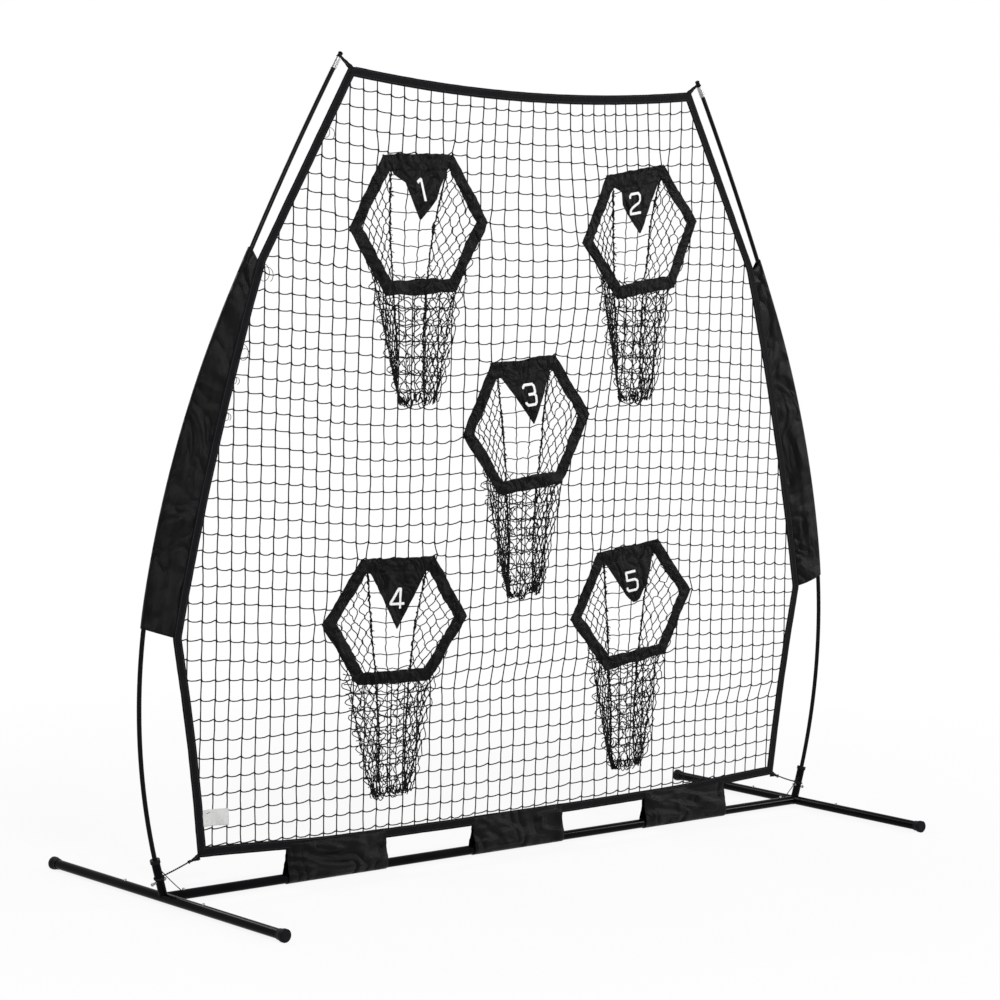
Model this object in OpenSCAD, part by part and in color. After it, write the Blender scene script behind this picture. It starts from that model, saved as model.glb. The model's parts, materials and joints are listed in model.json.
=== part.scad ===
// Pitching target net: a free-standing bow frame that holds a knotless net with five
// hexagonal pockets, each with a numbered flap and a mesh bag that catches the ball.
// X runs across the net, the thrower stands on -Y, and +Z is up from the floor.

/* [Feet] */
// Distance between the axes of the two feet
foot_spacing = 2314; // [2200:1:2450]
// Length of one foot over its rubber caps
foot_len = 1010; // [800:1:1200]
// Outer diameter of the steel tube
tube_d = 25.4; // [22:0.1:28]
// Wall of the steel tube
tube_wall = 1.2; // [0.8:0.1:1.6]
// Length of the welded centre tube of a foot
centre_len = 420; // [340:1:520]
// Length of the welded stub that takes the crossbar
stub_len = 100; // [90:1:130]
// Length of the necked end that slides into the next tube
neck_len = 60; // [50:1:75]
// Radial clearance of a necked end in its socket
neck_gap = 0.2; // [0.1:0.05:0.4]
// Distance of the outer crossbar joints from the middle
bar_joint = 525; // [400:1:560]
// Largest diameter of a rubber foot cap
cap_d = 34; // [31:0.5:40]
// Length of a rubber foot cap
cap_len = 26; // [20:1:36]
// Thickness of the cap's end wall
cap_end = 3; // [2:0.5:5]
// Depth of the flat that the cap rests on
cap_flat = 0.4; // [0.2:0.1:0.8]

/* [Snap buttons] */
// Diameter of a snap button
button_d = 7; // [5:0.5:8]
// Radial clearance of a button in its holes
button_gap = 0.5; // [0.3:0.1:0.8]
// How far a button stands proud of the tube
button_rise = 4.5; // [3:0.5:6]
// Distance of a button from the end of the outer tube
button_inset = 40; // [30:1:45]
// Length of the spring arm under a button
arm_len = 28; // [22:1:34]
// Width of the spring strip
arm_w = 6; // [4:0.5:7]
// Thickness of the spring strip
arm_t = 0.8; // [0.5:0.1:1]

/* [Pole sockets] */
// Outward tilt of the socket from upright
socket_tilt = 16.3; // [13:0.1:18]
// Length of the socket along its own axis, from the foot's axis
socket_len = 94; // [80:1:120]
// Outer diameter of the socket tube
socket_d = 22.2; // [20:0.1:26]
// Wall of the socket tube
socket_wall = 1.6; // [1.2:0.1:2]
// Diameter of the bushing's collar
collar_d = 26; // [24:0.5:30]
// Height of the bushing's collar
collar_h = 10; // [6:0.5:14]
// Height of the stop bolt along the socket
bolt_at = 45; // [38:1:50]
// Diameter of the stop bolt
bolt_d = 6; // [5:0.5:8]
// Diameter of the stop bolt's round head
bolt_head_d = 9; // [8:0.5:12]
// How far the bolt's head stands off the socket
bolt_standoff = 11; // [6:1:14]

/* [Poles] */
// Outer diameter of a fibreglass pole
pole_d = 12; // [10:0.5:13]
// Bore of a fibreglass pole
pole_bore = 7; // [5:0.5:8]
// Length of the lower pole section
lower_len = 733; // [710:1:750]
// Length of the middle pole section
middle_len = 733; // [710:1:750]
// Length of the upper pole section
upper_len = 733; // [710:1:750]
// Bend radius of the lower section
lower_bend = 1560; // [1500:10:1650]
// Bend radius of the middle section
middle_bend = 2700; // [2600:10:2900]
// Bend radius of the upper section
upper_bend = 8500; // [8000:100:10000]
// Outer diameter of a joining ferrule
ferrule_d = 14.4; // [14:0.1:15]
// Length of a joining ferrule
ferrule_len = 70; // [50:1:90]
// Length of the bare metal ferrule at the tip
tip_ferrule_len = 32; // [26:1:40]
// Radial clearance of a pole in its ferrules
pole_gap = 0.15; // [0.1:0.05:0.3]
// Radial clearance of a bent pole in its straight bushing
bushing_gap = 0.4; // [0.3:0.05:0.6]

/* [Net] */
// Gap from pole to net edge at the top corner
top_gap = 46; // [40:1:56]
// Drop of the net's top corners below the pole tips
top_drop = 18; // [14:1:24]
// Gap from pole to net edge at the top of the side sleeve
sleeve_top_gap = 32; // [28:1:40]
// Gap from pole to net edge at the bottom of the side sleeve
sleeve_bottom_gap = 90; // [76:1:104]
// Gap from the foot's axis to the net's bottom corner
bottom_gap = 102; // [92:1:115]
// Height of the net's bottom corners
bottom_z = 106; // [100:1:112]
// Sag of the top edge in the middle
top_sag = 35; // [20:1:50]
// Sag of the bottom edge in the middle
bottom_sag = 12; // [6:1:16]
// Outward bow of the net edge along the sleeve
sleeve_bow = 15; // [5:1:20]
// Inward sag of the net edge below the sleeve
edge_sag = 7; // [3:1:12]
// Width of the sewn binding
binding_w = 25; // [20:1:30]
// Thickness of the sewn binding
binding_t = 3; // [2:0.5:4]
// Spacing of the net's strands in this model
net_pitch = 133; // [125:1:160]
// Width of a strand
strand_w = 3; // [2:0.5:4]
// Thickness of a strand
strand_t = 2; // [1.5:0.5:2.5]

/* [Sleeves and tabs] */
// Height of the side sleeve's top at the pole
sleeve_top_z = 1640; // [1600:1:1680]
// Height of the side sleeve's bottom at the pole
sleeve_bottom_z = 697; // [660:1:740]
// Drop of the sleeve's two slanted ends from the pole to the net
sleeve_slant = 28; // [10:1:40]
// Radial room for the pole in its sleeve
sleeve_room = 1.8; // [1.6:0.1:2.4]
// Thickness of the sleeve's cloth around the pole
sleeve_cloth = 1.5; // [1:0.1:2]
// Width of a bar tab along the crossbar
tab_w = 330; // [250:1:360]
// Thickness of a bar tab's cloth
tab_cloth = 1.2; // [0.8:0.1:1.6]
// Room between a bar tab and what it wraps
tab_room = 0.4; // [0.3:0.1:0.8]
// Width of the blank care tag
tag_w = 84; // [60:1:100]
// Height of the blank care tag
tag_h = 43; // [30:1:50]

/* [Pockets] */
// Width of a pocket's frame from corner to corner
ring_w = 474; // [440:1:500]
// Height of a pocket's frame
ring_h = 350; // [320:1:370]
// Length of the frame's top and bottom edges
ring_top = 238; // [210:1:260]
// Width of the frame's cloth band
ring_band = 37; // [30:1:44]
// Thickness of the frame's cloth band
ring_t = 3; // [2:0.5:4]
// Width of a flap at its hinge
flag_w = 172; // [140:1:180]
// Length of a flap from hinge to tip
flag_h = 152; // [120:1:165]
// Thickness of a flap
flag_t = 1; // [0.8:0.1:1.4]
// Clearance of a flap from its frame
flag_gap = 0.3; // [0.2:0.1:0.5]
// Depth of a bag from front to back
bag_depth = 84; // [80:1:100]
// Drop of a bag's bottom below the middle of its frame
bag_drop = 482; // [440:1:500]
// Thickness of a bag's mesh wall
bag_wall = 2.5; // [2:0.1:3]

/* [Ties] */
// Diameter of the corner tie cord
tie_d = 5; // [4:0.5:6]
// Diameter of the thin tether cord
tether_d = 2.5; // [2:0.5:3]
// Diameter of the knot at the net's corner
knot_d = 12; // [10:0.5:14]

/* [Hidden] */
$fn = 48;
// Steps in a full turn along the long pole arcs
path_fn = 1440;

// Tube sizes
tube_r = tube_d / 2;
bore_r = tube_r - tube_wall;
neck_r = bore_r - neck_gap;
neck_bore_r = neck_r - tube_wall;
cap_r = cap_d / 2;
tube_z = cap_r - cap_flat;
foot_x = foot_spacing / 2;
centre_half = centre_len / 2;
stub_x = foot_x - stub_len;
weld_step = 0.3;
cut = 1;

// Pole path: three arcs that run on from one another, each as [x, z, heading from upright]
pole_r = pole_d / 2;
arc_len = [lower_len, middle_len, upper_len];
arc_r = [lower_bend, middle_bend, upper_bend];
function socket_point(d, out) = [foot_x + d * sin(socket_tilt) + out * cos(socket_tilt),
    tube_z + d * cos(socket_tilt) - out * sin(socket_tilt)];
rest_gap = 0.1;
pole_foot = bolt_at + bolt_d / 2 + rest_gap;
// The bend inside the socket is shared out evenly about the socket's axis
foot_heading = socket_tilt + (socket_len - pole_foot) / lower_bend * 90 / PI;
function turn(i) = arc_len[i] / arc_r[i] * 180 / PI;
function arc_start(i) = i == 0 ? [socket_point(pole_foot, 0)[0], socket_point(pole_foot, 0)[1], foot_heading]
    : let (a = arc_start(i - 1), r = arc_r[i - 1], t = a[2], u = t - turn(i - 1))
        [a[0] + r * (cos(u) - cos(t)), a[1] + r * (sin(t) - sin(u)), u];
function arc_centre(i) = let (a = arc_start(i)) [a[0] - arc_r[i] * cos(a[2]), a[1] + arc_r[i] * sin(a[2])];
function arc_of(z) = z < arc_start(1)[1] ? 0 : z < arc_start(2)[1] ? 1 : 2;
function heading_at(z) = let (i = arc_of(z)) asin((arc_centre(i)[1] - z) / arc_r[i]);
function pole_x(z) = let (i = arc_of(z)) arc_centre(i)[0] + arc_r[i] * cos(heading_at(z));
pole_end = arc_start(3);

// Pole fittings
bushing_len = 30;
tip_plug_len = 12;
tip_base_h = 3;
tip_neck_r = 4;
tip_neck_h = 9;
tip_head_r = 6.5;
tip_head_h = 5;
tip_neck_z = tip_base_h + tip_neck_h;
tip_top_z = tip_neck_z + tip_head_h;

// Net outline, right-hand side, from the floor up
top_z = pole_end[1] - top_drop;
top_x = pole_x(top_z) - top_gap;
kink_z = sleeve_bottom_z - sleeve_slant;
kink_x = pole_x(kink_z) - sleeve_bottom_gap;
shoulder_z = sleeve_top_z - sleeve_slant;
shoulder_x = pole_x(shoulder_z) - sleeve_top_gap;
bottom_x = foot_x - bottom_gap;
function mix(a, b, t) = a + (b - a) * t;
function bow(t) = 4 * t * (1 - t);
function share(z, low, high) = (z - low) / (high - low);
function side_x(z) =
    z < kink_z ? let (t = share(z, bottom_z, kink_z)) mix(bottom_x, kink_x, t) - edge_sag * bow(t)
    : z < shoulder_z ? let (t = share(z, kink_z, shoulder_z)) mix(kink_x, shoulder_x, t) + sleeve_bow * bow(t)
    : mix(shoulder_x, top_x, share(z, shoulder_z, top_z));
slope_step = 4;
function side_slope(z) = (side_x(z + slope_step) - side_x(z - slope_step)) / (2 * slope_step);
function side_in_x(z) = side_x(z) - binding_w * sqrt(1 + pow(side_slope(z), 2));
function top_edge(x) = top_z - top_sag * (1 - pow(x / top_x, 2));
function bottom_edge(x) = bottom_z - bottom_sag * (1 - pow(x / bottom_x, 2));
side_zs = concat([for (i = [0:4]) mix(bottom_z, kink_z, i / 4)],
    [for (i = [1:8]) mix(kink_z, shoulder_z, i / 8)], [top_z]);
edge_steps = 16;
strip_reach = 60;

// Pockets
pocket_x = [-371, 440, 28, -422, 446];
pocket_z = [1715, 1714, 1179, 667, 657];
// Each pocket's turn in the net's plane, in degrees: the taut strands lift one side
pocket_turn = [3, 9, 6, -1, 7];
ring_lean = (ring_w - ring_top) / ring_h;
ring_skew = sqrt(1 + pow(ring_lean, 2));
function hexagon(inset) =
    let (h = ring_h / 2 - inset, w = ring_w / 2 - inset * ring_skew, t = w - ring_lean * h)
        [[-t, h], [t, h], [w, 0], [t, -h], [-t, -h], [-w, 0]];
rim_inset = 18;
flag_y = -ring_t / 2 - flag_gap - flag_t / 2;
flag_z = ring_h / 2 - ring_band - flag_gap;
bag_y = ring_t / 2 + flag_gap;
bag_corner_r = 12;
// Bag sections from the mouth down: [height, half width, front, back, sideways lean]
bag_mouth_back = [-75, 150, bag_y, bag_depth, 4];
bag_throat = [-ring_h / 2, 145, bag_y, bag_depth, 8];
bag_heel = [72 - bag_drop, 88, 3, bag_depth - 1, 24];
bag_bottom = [-bag_drop, 58, 18, bag_depth - 16, 28];

// Bar tabs
tab_x = [-608, 30, 682];
tab_in_r = tube_r + tab_room;
tab_out_r = tab_in_r + tab_cloth;
tab_slot = binding_t / 2 + flag_gap;
tab_top_z = bottom_z + 12;
tab_flat_h = 30;
tab_steps = 12;

// Buttons and their springs
button_r = button_d / 2;
hole_r = button_r + button_gap;
button_top = tube_r + button_rise;
arm_z = sqrt(pow(neck_bore_r, 2) - pow(arm_w / 2, 2)) - 0.3;
lip_len = 6;
spring_gap = 0.3;

// Ties
tie_loop_at = bolt_at + 9;
tie_loop_gap = 0.3;
loop_r = socket_d / 2 + tie_loop_gap + tie_d / 2;
tether_at = 70;
tether_y = -6;
cord_sides = 8;
corner = [bottom_x, bottom_z];
tie_low = socket_point(tie_loop_at, -loop_r);
tie_reach = norm(tie_low - corner);
tie_dir = (tie_low - corner) / tie_reach;
strap_len = 20;
strap_t = 2.4;
strap_gap = 0.3;
strap_wall = 1.6;
knot_at = strap_len + knot_d / 2 + tie_loop_gap;
// The tether's ends: on the socket and on the crossbar stub
tether_pin = socket_point(tether_at, 3 - socket_d / 2);
tether_top = [tether_pin[0], tether_y, tether_pin[1]];
tether_foot = [foot_x - 52, tether_y, tube_z + tube_r - 2];
tether_mid = (tether_top + tether_foot) / 2 + [0, 0, -1.5];
tie_top3 = [corner[0] + tie_dir[0] * (knot_at + 4), 0, corner[1] + tie_dir[1] * (knot_at + 4)];
tie_low3 = [tie_low[0], 0, tie_low[1]];
tie_mid = (tie_top3 + tie_low3) / 2 + [0, 0, -1];

// ---- helpers ----

// Draws its children on the right or, mirrored, on the left
module on_side(side) {
    if (side == "left") mirror([1, 0, 0]) children();
    else children();
}

// A cylinder along +X
module rod_x(x0, x1, r) {
    translate([x0, 0, 0]) rotate([0, 90, 0]) cylinder(r = r, h = x1 - x0);
}

// A tube along +X from 0 to len, with an optional necked end beyond each end
module necked_tube(len, neck_start, neck_stop, hole_at) {
    difference() {
        union() {
            rod_x(0, len, tube_r);
            if (neck_start) rod_x(-neck_len, tube_wall, neck_r);
            if (neck_stop) rod_x(len - tube_wall, len + neck_len, neck_r);
        }
        rod_x(neck_start ? tube_wall * 2 : -cut, neck_stop ? len - tube_wall * 2 : len + cut, bore_r);
        if (neck_start) rod_x(-neck_len - cut, tube_wall * 3, neck_bore_r);
        if (neck_stop) rod_x(len - tube_wall * 3, len + neck_len + cut, neck_bore_r);
        if (neck_start && hole_at) translate([-button_inset, 0, 0]) cylinder(r = hole_r, h = tube_r + cut);
    }
}

// A bar of radius r bent to radius bend, from length a to length b along it.
// start holds [x, z, heading] of the point where the length is 0.
module bent_bar(start, bend, a, b, r) {
    t0 = start[2] - a / bend * 180 / PI;
    t1 = start[2] - b / bend * 180 / PI;
    translate([start[0] - bend * cos(start[2]), 0, start[1] + bend * sin(start[2])])
        rotate([90, 0, 0]) rotate([0, 0, -t0])
            rotate_extrude(angle = t0 - t1, $fn = path_fn) translate([bend, 0]) circle(r = r, $fn = 48);
}

// A bent tube, from length a to length b
module bent_tube(start, bend, a, b, r_out, r_in) {
    difference() {
        bent_bar(start, bend, a, b, r_out);
        bent_bar(start, bend, a - cut, b + cut, r_in);
    }
}

// Places its children on the socket's own axis, at height d along it
module in_socket(d) {
    translate([foot_x, 0, tube_z]) rotate([0, socket_tilt, 0]) translate([0, 0, d]) children();
}

// Places its children on the end of the pole, along its heading
module on_tip() {
    translate([pole_end[0], 0, pole_end[1]]) rotate([0, pole_end[2], 0]) children();
}

// Stands a flat outline drawn in X and Z upright, with its thickness centred on y
module upright(t, y = 0) {
    translate([0, y + t / 2, 0]) rotate([90, 0, 0]) linear_extrude(height = t) children();
}

// A tube swept along a route of points
module swept_cord(route, d) {
    n = len(route);
    dirs = [for (i = [0:n - 1]) let (v = route[min(i + 1, n - 1)] - route[max(i - 1, 0)]) v / norm(v)];
    side_axis = [0, 1, 0];
    pts = [for (i = [0:n - 1]) let (s = cross(dirs[i], side_axis), s1 = s / norm(s), s2 = cross(dirs[i], s1))
        for (k = [0:cord_sides - 1]) let (a = 360 * k / cord_sides)
            route[i] + d / 2 * (cos(a) * s1 + sin(a) * s2)];
    walls = [for (i = [0:n - 2]) for (k = [0:cord_sides - 1]) let (a = i * cord_sides + k,
        b = i * cord_sides + (k + 1) % cord_sides)
        each [[a, b, b + cord_sides], [a, b + cord_sides, a + cord_sides]]];
    cap_a = [for (k = [1:cord_sides - 2]) [0, k + 1, k]];
    last = (n - 1) * cord_sides;
    cap_b = [for (k = [1:cord_sides - 2]) [last, last + k, last + k + 1]];
    polyhedron(points = pts, faces = concat(walls, cap_a, cap_b));
}

// A smooth sagging route through three points
function sag_route(a, m, b, n) = [for (i = [0:n]) let (t = i / n)
    a * (1 - t) * (1 - 2 * t) + m * 4 * t * (1 - t) + b * t * (2 * t - 1)];

// ---- net outlines in X and Z ----

module net_outline() {
    polygon(concat([for (z = side_zs) [side_x(z), z]],
        [for (i = [1:edge_steps - 1]) let (x = mix(top_x, -top_x, i / edge_steps)) [x, top_edge(x)]],
        [for (i = [len(side_zs) - 1:-1:0]) [-side_x(side_zs[i]), side_zs[i]]],
        [for (i = [1:edge_steps - 1]) let (x = mix(-bottom_x, bottom_x, i / edge_steps))
            [x, bottom_edge(x)]]));
}

// The region inside the two side bindings
module side_inner() {
    zs = concat([bottom_z - strip_reach], side_zs, [top_z + strip_reach]);
    polygon(concat([for (z = zs) [side_in_x(z), z]],
        [for (i = [len(zs) - 1:-1:0]) [-side_in_x(zs[i]), zs[i]]]));
}

module top_strip() {
    xs = [for (i = [0:edge_steps]) mix(-top_x - binding_w, top_x + binding_w, i / edge_steps)];
    polygon(concat([for (x = xs) [x, top_edge(x) - binding_w]],
        [[top_x + strip_reach, top_z + strip_reach], [-top_x - strip_reach, top_z + strip_reach]]));
}

module bottom_strip() {
    xs = [for (i = [0:edge_steps]) mix(-bottom_x - binding_w, bottom_x + binding_w, i / edge_steps)];
    polygon(concat([for (x = xs) [x, bottom_edge(x) + binding_w]],
        [[bottom_x + strip_reach, bottom_z - strip_reach],
            [-bottom_x - strip_reach, bottom_z - strip_reach]]));
}

module hexagon_at(i, inset) {
    translate([pocket_x[i], pocket_z[i]]) rotate(pocket_turn[i]) polygon(hexagon(inset));
}

// ---- feet and crossbar ----

module foot_centre(side) {
    color("black") on_side(side) difference() {
        union() {
            translate([foot_x, centre_half, tube_z]) rotate([90, 0, 0]) cylinder(r = tube_r, h = centre_len);
            translate([0, 0, tube_z]) rod_x(stub_x, foot_x - tube_r, tube_r);
            translate([0, 0, tube_z]) rod_x(stub_x, foot_x, tube_r - weld_step);
            in_socket(0) cylinder(r = socket_d / 2, h = socket_len);
        }
        translate([foot_x, centre_half + cut, tube_z]) rotate([90, 0, 0])
            cylinder(r = bore_r, h = centre_len + 2 * cut);
        translate([0, 0, tube_z]) rod_x(stub_x - cut, foot_x - tube_r - tube_wall, bore_r);
        in_socket(tube_r + tube_wall + 4) cylinder(r = socket_d / 2 - socket_wall, h = socket_len);
        in_socket(bolt_at) rotate([0, 90, 0])
            cylinder(r = bolt_d / 2 + pole_gap, h = socket_d + 2, center = true);
        for (s = [-1, 1]) translate([foot_x, s * (centre_half - button_inset), tube_z])
            cylinder(r = hole_r, h = tube_r + cut);
        translate([stub_x + button_inset, 0, tube_z]) cylinder(r = hole_r, h = tube_r + cut);
    }
}

// A foot's outer tube, in front of or behind the centre tube
module foot_tube(side, dir) {
    color("black") on_side(side) translate([foot_x, dir * centre_half, tube_z]) rotate([0, 0, dir * 90])
        necked_tube(foot_len / 2 - cap_end - centre_half, true, false, true);
}

module foot_caps() {
    cap_tail_r = tube_r + 1.6;
    edge_r = 2;
    color([0.06, 0.06, 0.06]) for (sx = [-1, 1]) for (sy = [-1, 1]) difference() {
        translate([sx * foot_x, sy * foot_len / 2, tube_z]) rotate([sy * 90, 0, 0])
            rotate_extrude() difference() {
                polygon([[0, 0], [cap_r - edge_r, 0], [cap_r, edge_r], [cap_r, cap_len * 0.4],
                    [cap_tail_r, cap_len * 0.8], [cap_tail_r, cap_len], [0, cap_len]]);
                translate([0, cap_end]) square([tube_r + neck_gap / 2, cap_len]);
            }
        translate([sx * foot_x, sy * foot_len / 2, -cap_d / 2])
            cube([cap_d, cap_len * 3, cap_d], center = true);
    }
}

module crossbar_outer(side) {
    color("black") on_side(side) translate([stub_x, 0, tube_z]) rotate([0, 0, 180])
        necked_tube(stub_x - bar_joint, true, false, true);
}

module crossbar_inner_left() {
    color("black") translate([-bar_joint, 0, tube_z]) necked_tube(bar_joint, true, false, false);
}

module crossbar_inner_right() {
    color("black") translate([0, 0, tube_z]) necked_tube(bar_joint, true, true, false);
}

// ---- snap buttons: the strip lies under the tube's top wall, along -X from the button ----

module button() {
    color("silver") {
        cylinder(r = button_r, h = button_top - 1);
        translate([0, 0, button_top - 1]) cylinder(r1 = button_r, r2 = button_r - 1, h = 1);
        translate([-arm_len, -arm_w / 2, arm_z - arm_t]) cube([arm_len, arm_w, arm_t]);
        translate([-arm_len, -arm_w / 2, arm_z - lip_len]) cube([arm_t, arm_w, lip_len]);
    }
}

// The fixed leg of the same spring, on the floor of the neck
module spring_leg() {
    color("silver") {
        translate([-arm_len - spring_gap - arm_t, -arm_w / 2, -arm_z]) cube([arm_len + 4, arm_w, arm_t]);
        translate([-arm_len - spring_gap - arm_t, -arm_w / 2, -arm_z]) cube([arm_t, arm_w, 2 * arm_z - 3]);
    }
}

module at_foot_button(side, dir) {
    on_side(side) translate([foot_x, dir * (centre_half - button_inset), tube_z])
        rotate([0, 0, dir * 90]) children();
}

module at_bar_button(side) {
    on_side(side) translate([stub_x + button_inset, 0, tube_z]) rotate([0, 0, 180]) children();
}

module button_springs() {
    for (side = ["left", "right"]) {
        for (dir = [-1, 1]) at_foot_button(side, dir) spring_leg();
        at_bar_button(side) spring_leg();
    }
}

// ---- poles ----

// One section of a pole: 0 is the lower one
module pole_section(side, i) {
    color([0.08, 0.08, 0.08]) on_side(side)
        bent_tube(arc_start(i), arc_r[i], 0, arc_len[i], pole_r, pole_bore / 2);
}

// The joining ferrules inside the sleeves, and the bare one at each tip
module pole_ferrules() {
    half = ferrule_len / 2;
    color("silver") for (side = ["left", "right"]) on_side(side) {
        for (i = [1, 2]) bent_tube(arc_start(i), (arc_r[i - 1] + arc_r[i]) / 2, -half, half,
            ferrule_d / 2, pole_r + pole_gap);
        bent_tube(arc_start(2), upper_bend, upper_len - tip_ferrule_len, upper_len,
            ferrule_d / 2, pole_r + pole_gap);
    }
}

// The black end cap: a plug in the pole's bore, a base, a neck for the strap and a rounded head
module tip_caps() {
    plug_r = pole_bore / 2 - pole_gap;
    color("black") for (side = ["left", "right"]) on_side(side) on_tip() rotate_extrude()
        polygon([[0, -tip_plug_len], [plug_r, -tip_plug_len], [plug_r, 0], [ferrule_d / 2, 0],
            [ferrule_d / 2, tip_base_h], [tip_neck_r, tip_base_h], [tip_neck_r, tip_neck_z],
            [tip_head_r, tip_neck_z + 1], [tip_head_r, tip_top_z - 2], [tip_head_r - 2, tip_top_z],
            [0, tip_top_z]]);
}

module pole_bushings() {
    color("black") for (side = ["left", "right"]) on_side(side) difference() {
        union() {
            in_socket(socket_len) cylinder(r = collar_d / 2, h = collar_h);
            in_socket(socket_len - bushing_len)
                cylinder(r = socket_d / 2 - socket_wall - pole_gap, h = bushing_len);
        }
        in_socket(socket_len - bushing_len - cut)
            cylinder(r = pole_r + bushing_gap, h = bushing_len + collar_h + 2 * cut);
    }
}

// The stop bolts under the poles, with their nuts on the inner side
module socket_bolts() {
    wall = socket_d / 2;
    nut_h = 5;
    nut_w = 11;
    tail = 3;
    head_r = bolt_head_d / 2;
    color("dimgray") for (side = ["left", "right"]) on_side(side) in_socket(bolt_at) rotate([0, 90, 0]) {
        translate([0, 0, -wall - nut_h - tail])
            cylinder(r = bolt_d / 2, h = 2 * wall + nut_h + tail + bolt_standoff);
        translate([0, 0, wall + bolt_standoff]) rotate_extrude()
            polygon([[0, 0], [head_r, 0], [head_r, 2], [head_r - 1, 4], [head_r - 2.5, 5], [0, 5]]);
        translate([0, 0, -wall - nut_h]) difference() {
            cylinder(d = nut_w, h = nut_h, $fn = 6);
            translate([0, 0, -cut]) cylinder(r = bolt_d / 2 + 0.05, h = nut_h + 2 * cut);
        }
    }
}

// ---- net, binding and sleeves ----

module net_panel() {
    rows = floor((top_z - top_sag - binding_w) / net_pitch);
    cols = ceil((kink_x + sleeve_bow) / net_pitch);
    color([0.1, 0.1, 0.1]) upright(strand_t) difference() {
        intersection() {
            union() {
                for (k = [-cols:cols]) translate([k * net_pitch - strand_w / 2, 0]) square([strand_w, top_z]);
                for (k = [1:rows]) translate([-foot_x, k * net_pitch - strand_w / 2])
                    square([foot_spacing, strand_w]);
            }
            side_inner();
            net_outline();
        }
        top_strip();
        bottom_strip();
        for (i = [0:4]) hexagon_at(i, 0);
    }
}

module binding_top() {
    color("black") upright(binding_t) intersection() { net_outline(); top_strip(); }
}

module binding_bottom() {
    color("black") upright(binding_t) intersection() { net_outline(); bottom_strip(); }
}

module binding_side(side) {
    color("black") on_side(side) upright(binding_t) difference() {
        net_outline();
        side_inner();
        top_strip();
        bottom_strip();
        translate([-foot_spacing, 0]) square([foot_spacing, top_z + strip_reach]);
    }
}

// A flat band along the pole between the sleeve's ends, half_w to each side of the pole
module pole_band(half_w) {
    steps = 24;
    zs = [for (i = [0:steps]) mix(sleeve_bottom_z, sleeve_top_z, i / steps)];
    polygon(concat([for (z = zs) [pole_x(z) + half_w / cos(heading_at(z)), z]],
        [for (i = [steps:-1:0]) [pole_x(zs[i]) - half_w / cos(heading_at(zs[i])), zs[i]]]));
}

// A softened square channel around the pole
module pole_channel(half_w, notch_w) {
    upright(2 * notch_w) pole_band(half_w);
    upright(2 * half_w) pole_band(notch_w);
}

// A side sleeve: a cloth channel around the pole and a web that is sewn to the net's binding
module side_sleeve(side) {
    room_r = pole_r + sleeve_room;
    notch = room_r * 0.75;
    steps = 12;
    zs = [for (i = [0:steps]) mix(sleeve_bottom_z, sleeve_top_z, i / steps)];
    color([0.09, 0.09, 0.1]) on_side(side) difference() {
        union() {
            upright(binding_t) difference() {
                polygon(concat([for (z = zs) [pole_x(z), z]],
                    [[shoulder_x - binding_w, shoulder_z], [kink_x - binding_w, kink_z]]));
                net_outline();
            }
            pole_channel(room_r + sleeve_cloth, notch + sleeve_cloth);
        }
        pole_channel(room_r, notch);
    }
}

// Half of a loop's outline, in Y and Z: round the crossbar, then up to the net
function tab_half(r, half_w, top) = let (h = bottom_z - tab_flat_h - tube_z,
    a = atan2(h, half_w) - acos(r / norm([half_w, h])))
    concat([for (i = [0:tab_steps]) let (t = mix(-90, a, i / tab_steps)) [r * cos(t), tube_z + r * sin(t)]],
        [[half_w, tube_z + h], [half_w, top]]);

module tab_outline(r, half_w, top) {
    points = tab_half(r, half_w, top);
    polygon(concat(points, [for (i = [len(points) - 1:-1:1]) [-points[i][0], points[i][1]]]));
}

// A bar tab: a loop of cloth around the crossbar that closes on the bottom binding
module bar_tab(i) {
    color([0.09, 0.09, 0.1]) translate([tab_x[i] - tab_w / 2, 0, 0]) rotate([90, 0, 90])
        linear_extrude(height = tab_w) difference() {
            tab_outline(tab_out_r, tab_slot + tab_cloth, tab_top_z);
            tab_outline(tab_in_r, tab_slot, tab_top_z + cut);
        }
}

// ---- corner straps and ties ----

// A strap from the tip cap's neck to the net's top corner
module tip_strap() {
    loop_in = tip_neck_r + strap_gap;
    loop_h = tip_neck_h - 2 * strap_gap;
    at = tip_base_h + tip_neck_h / 2;
    from = [pole_end[0] + at * sin(pole_end[2]), pole_end[1] + at * cos(pole_end[2])];
    to = [top_x, top_z];
    dir = (to - from) / norm(to - from);
    perp = [-dir[1], dir[0]];
    overlap = dir * 6;
    narrow = perp * 3.5;
    wide = perp * 9;
    difference() {
        union() {
            on_tip() translate([0, 0, tip_base_h + strap_gap]) cylinder(r = loop_in + strap_wall, h = loop_h);
            upright(strap_t) difference() {
                polygon([from + narrow, to + wide + overlap, to - wide + overlap, from - narrow]);
                net_outline();
            }
        }
        on_tip() translate([0, 0, tip_base_h - cut]) cylinder(r = loop_in, h = tip_neck_h + cut);
        on_tip() translate([0, 0, -tip_ferrule_len]) cylinder(r = ferrule_d / 2 + strap_gap,
            h = tip_ferrule_len + tip_base_h + strap_gap);
        on_tip() translate([0, 0, tip_neck_z - strap_gap])
            cylinder(r = tip_head_r + strap_gap, h = tip_ferrule_len);
    }
}

// A strap from the net's bottom corner towards the socket
module bottom_strap() {
    perp = [-tie_dir[1], tie_dir[0]];
    near = corner - tie_dir * 8;
    far = corner + tie_dir * strap_len;
    wide = perp * 10;
    narrow = perp * 3;
    upright(strap_t) difference() {
        polygon([near + wide, far + narrow, far - narrow, near - wide]);
        net_outline();
    }
}

module corner_straps() {
    color("black") for (side = ["left", "right"]) on_side(side) {
        tip_strap();
        bottom_strap();
    }
}

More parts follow.
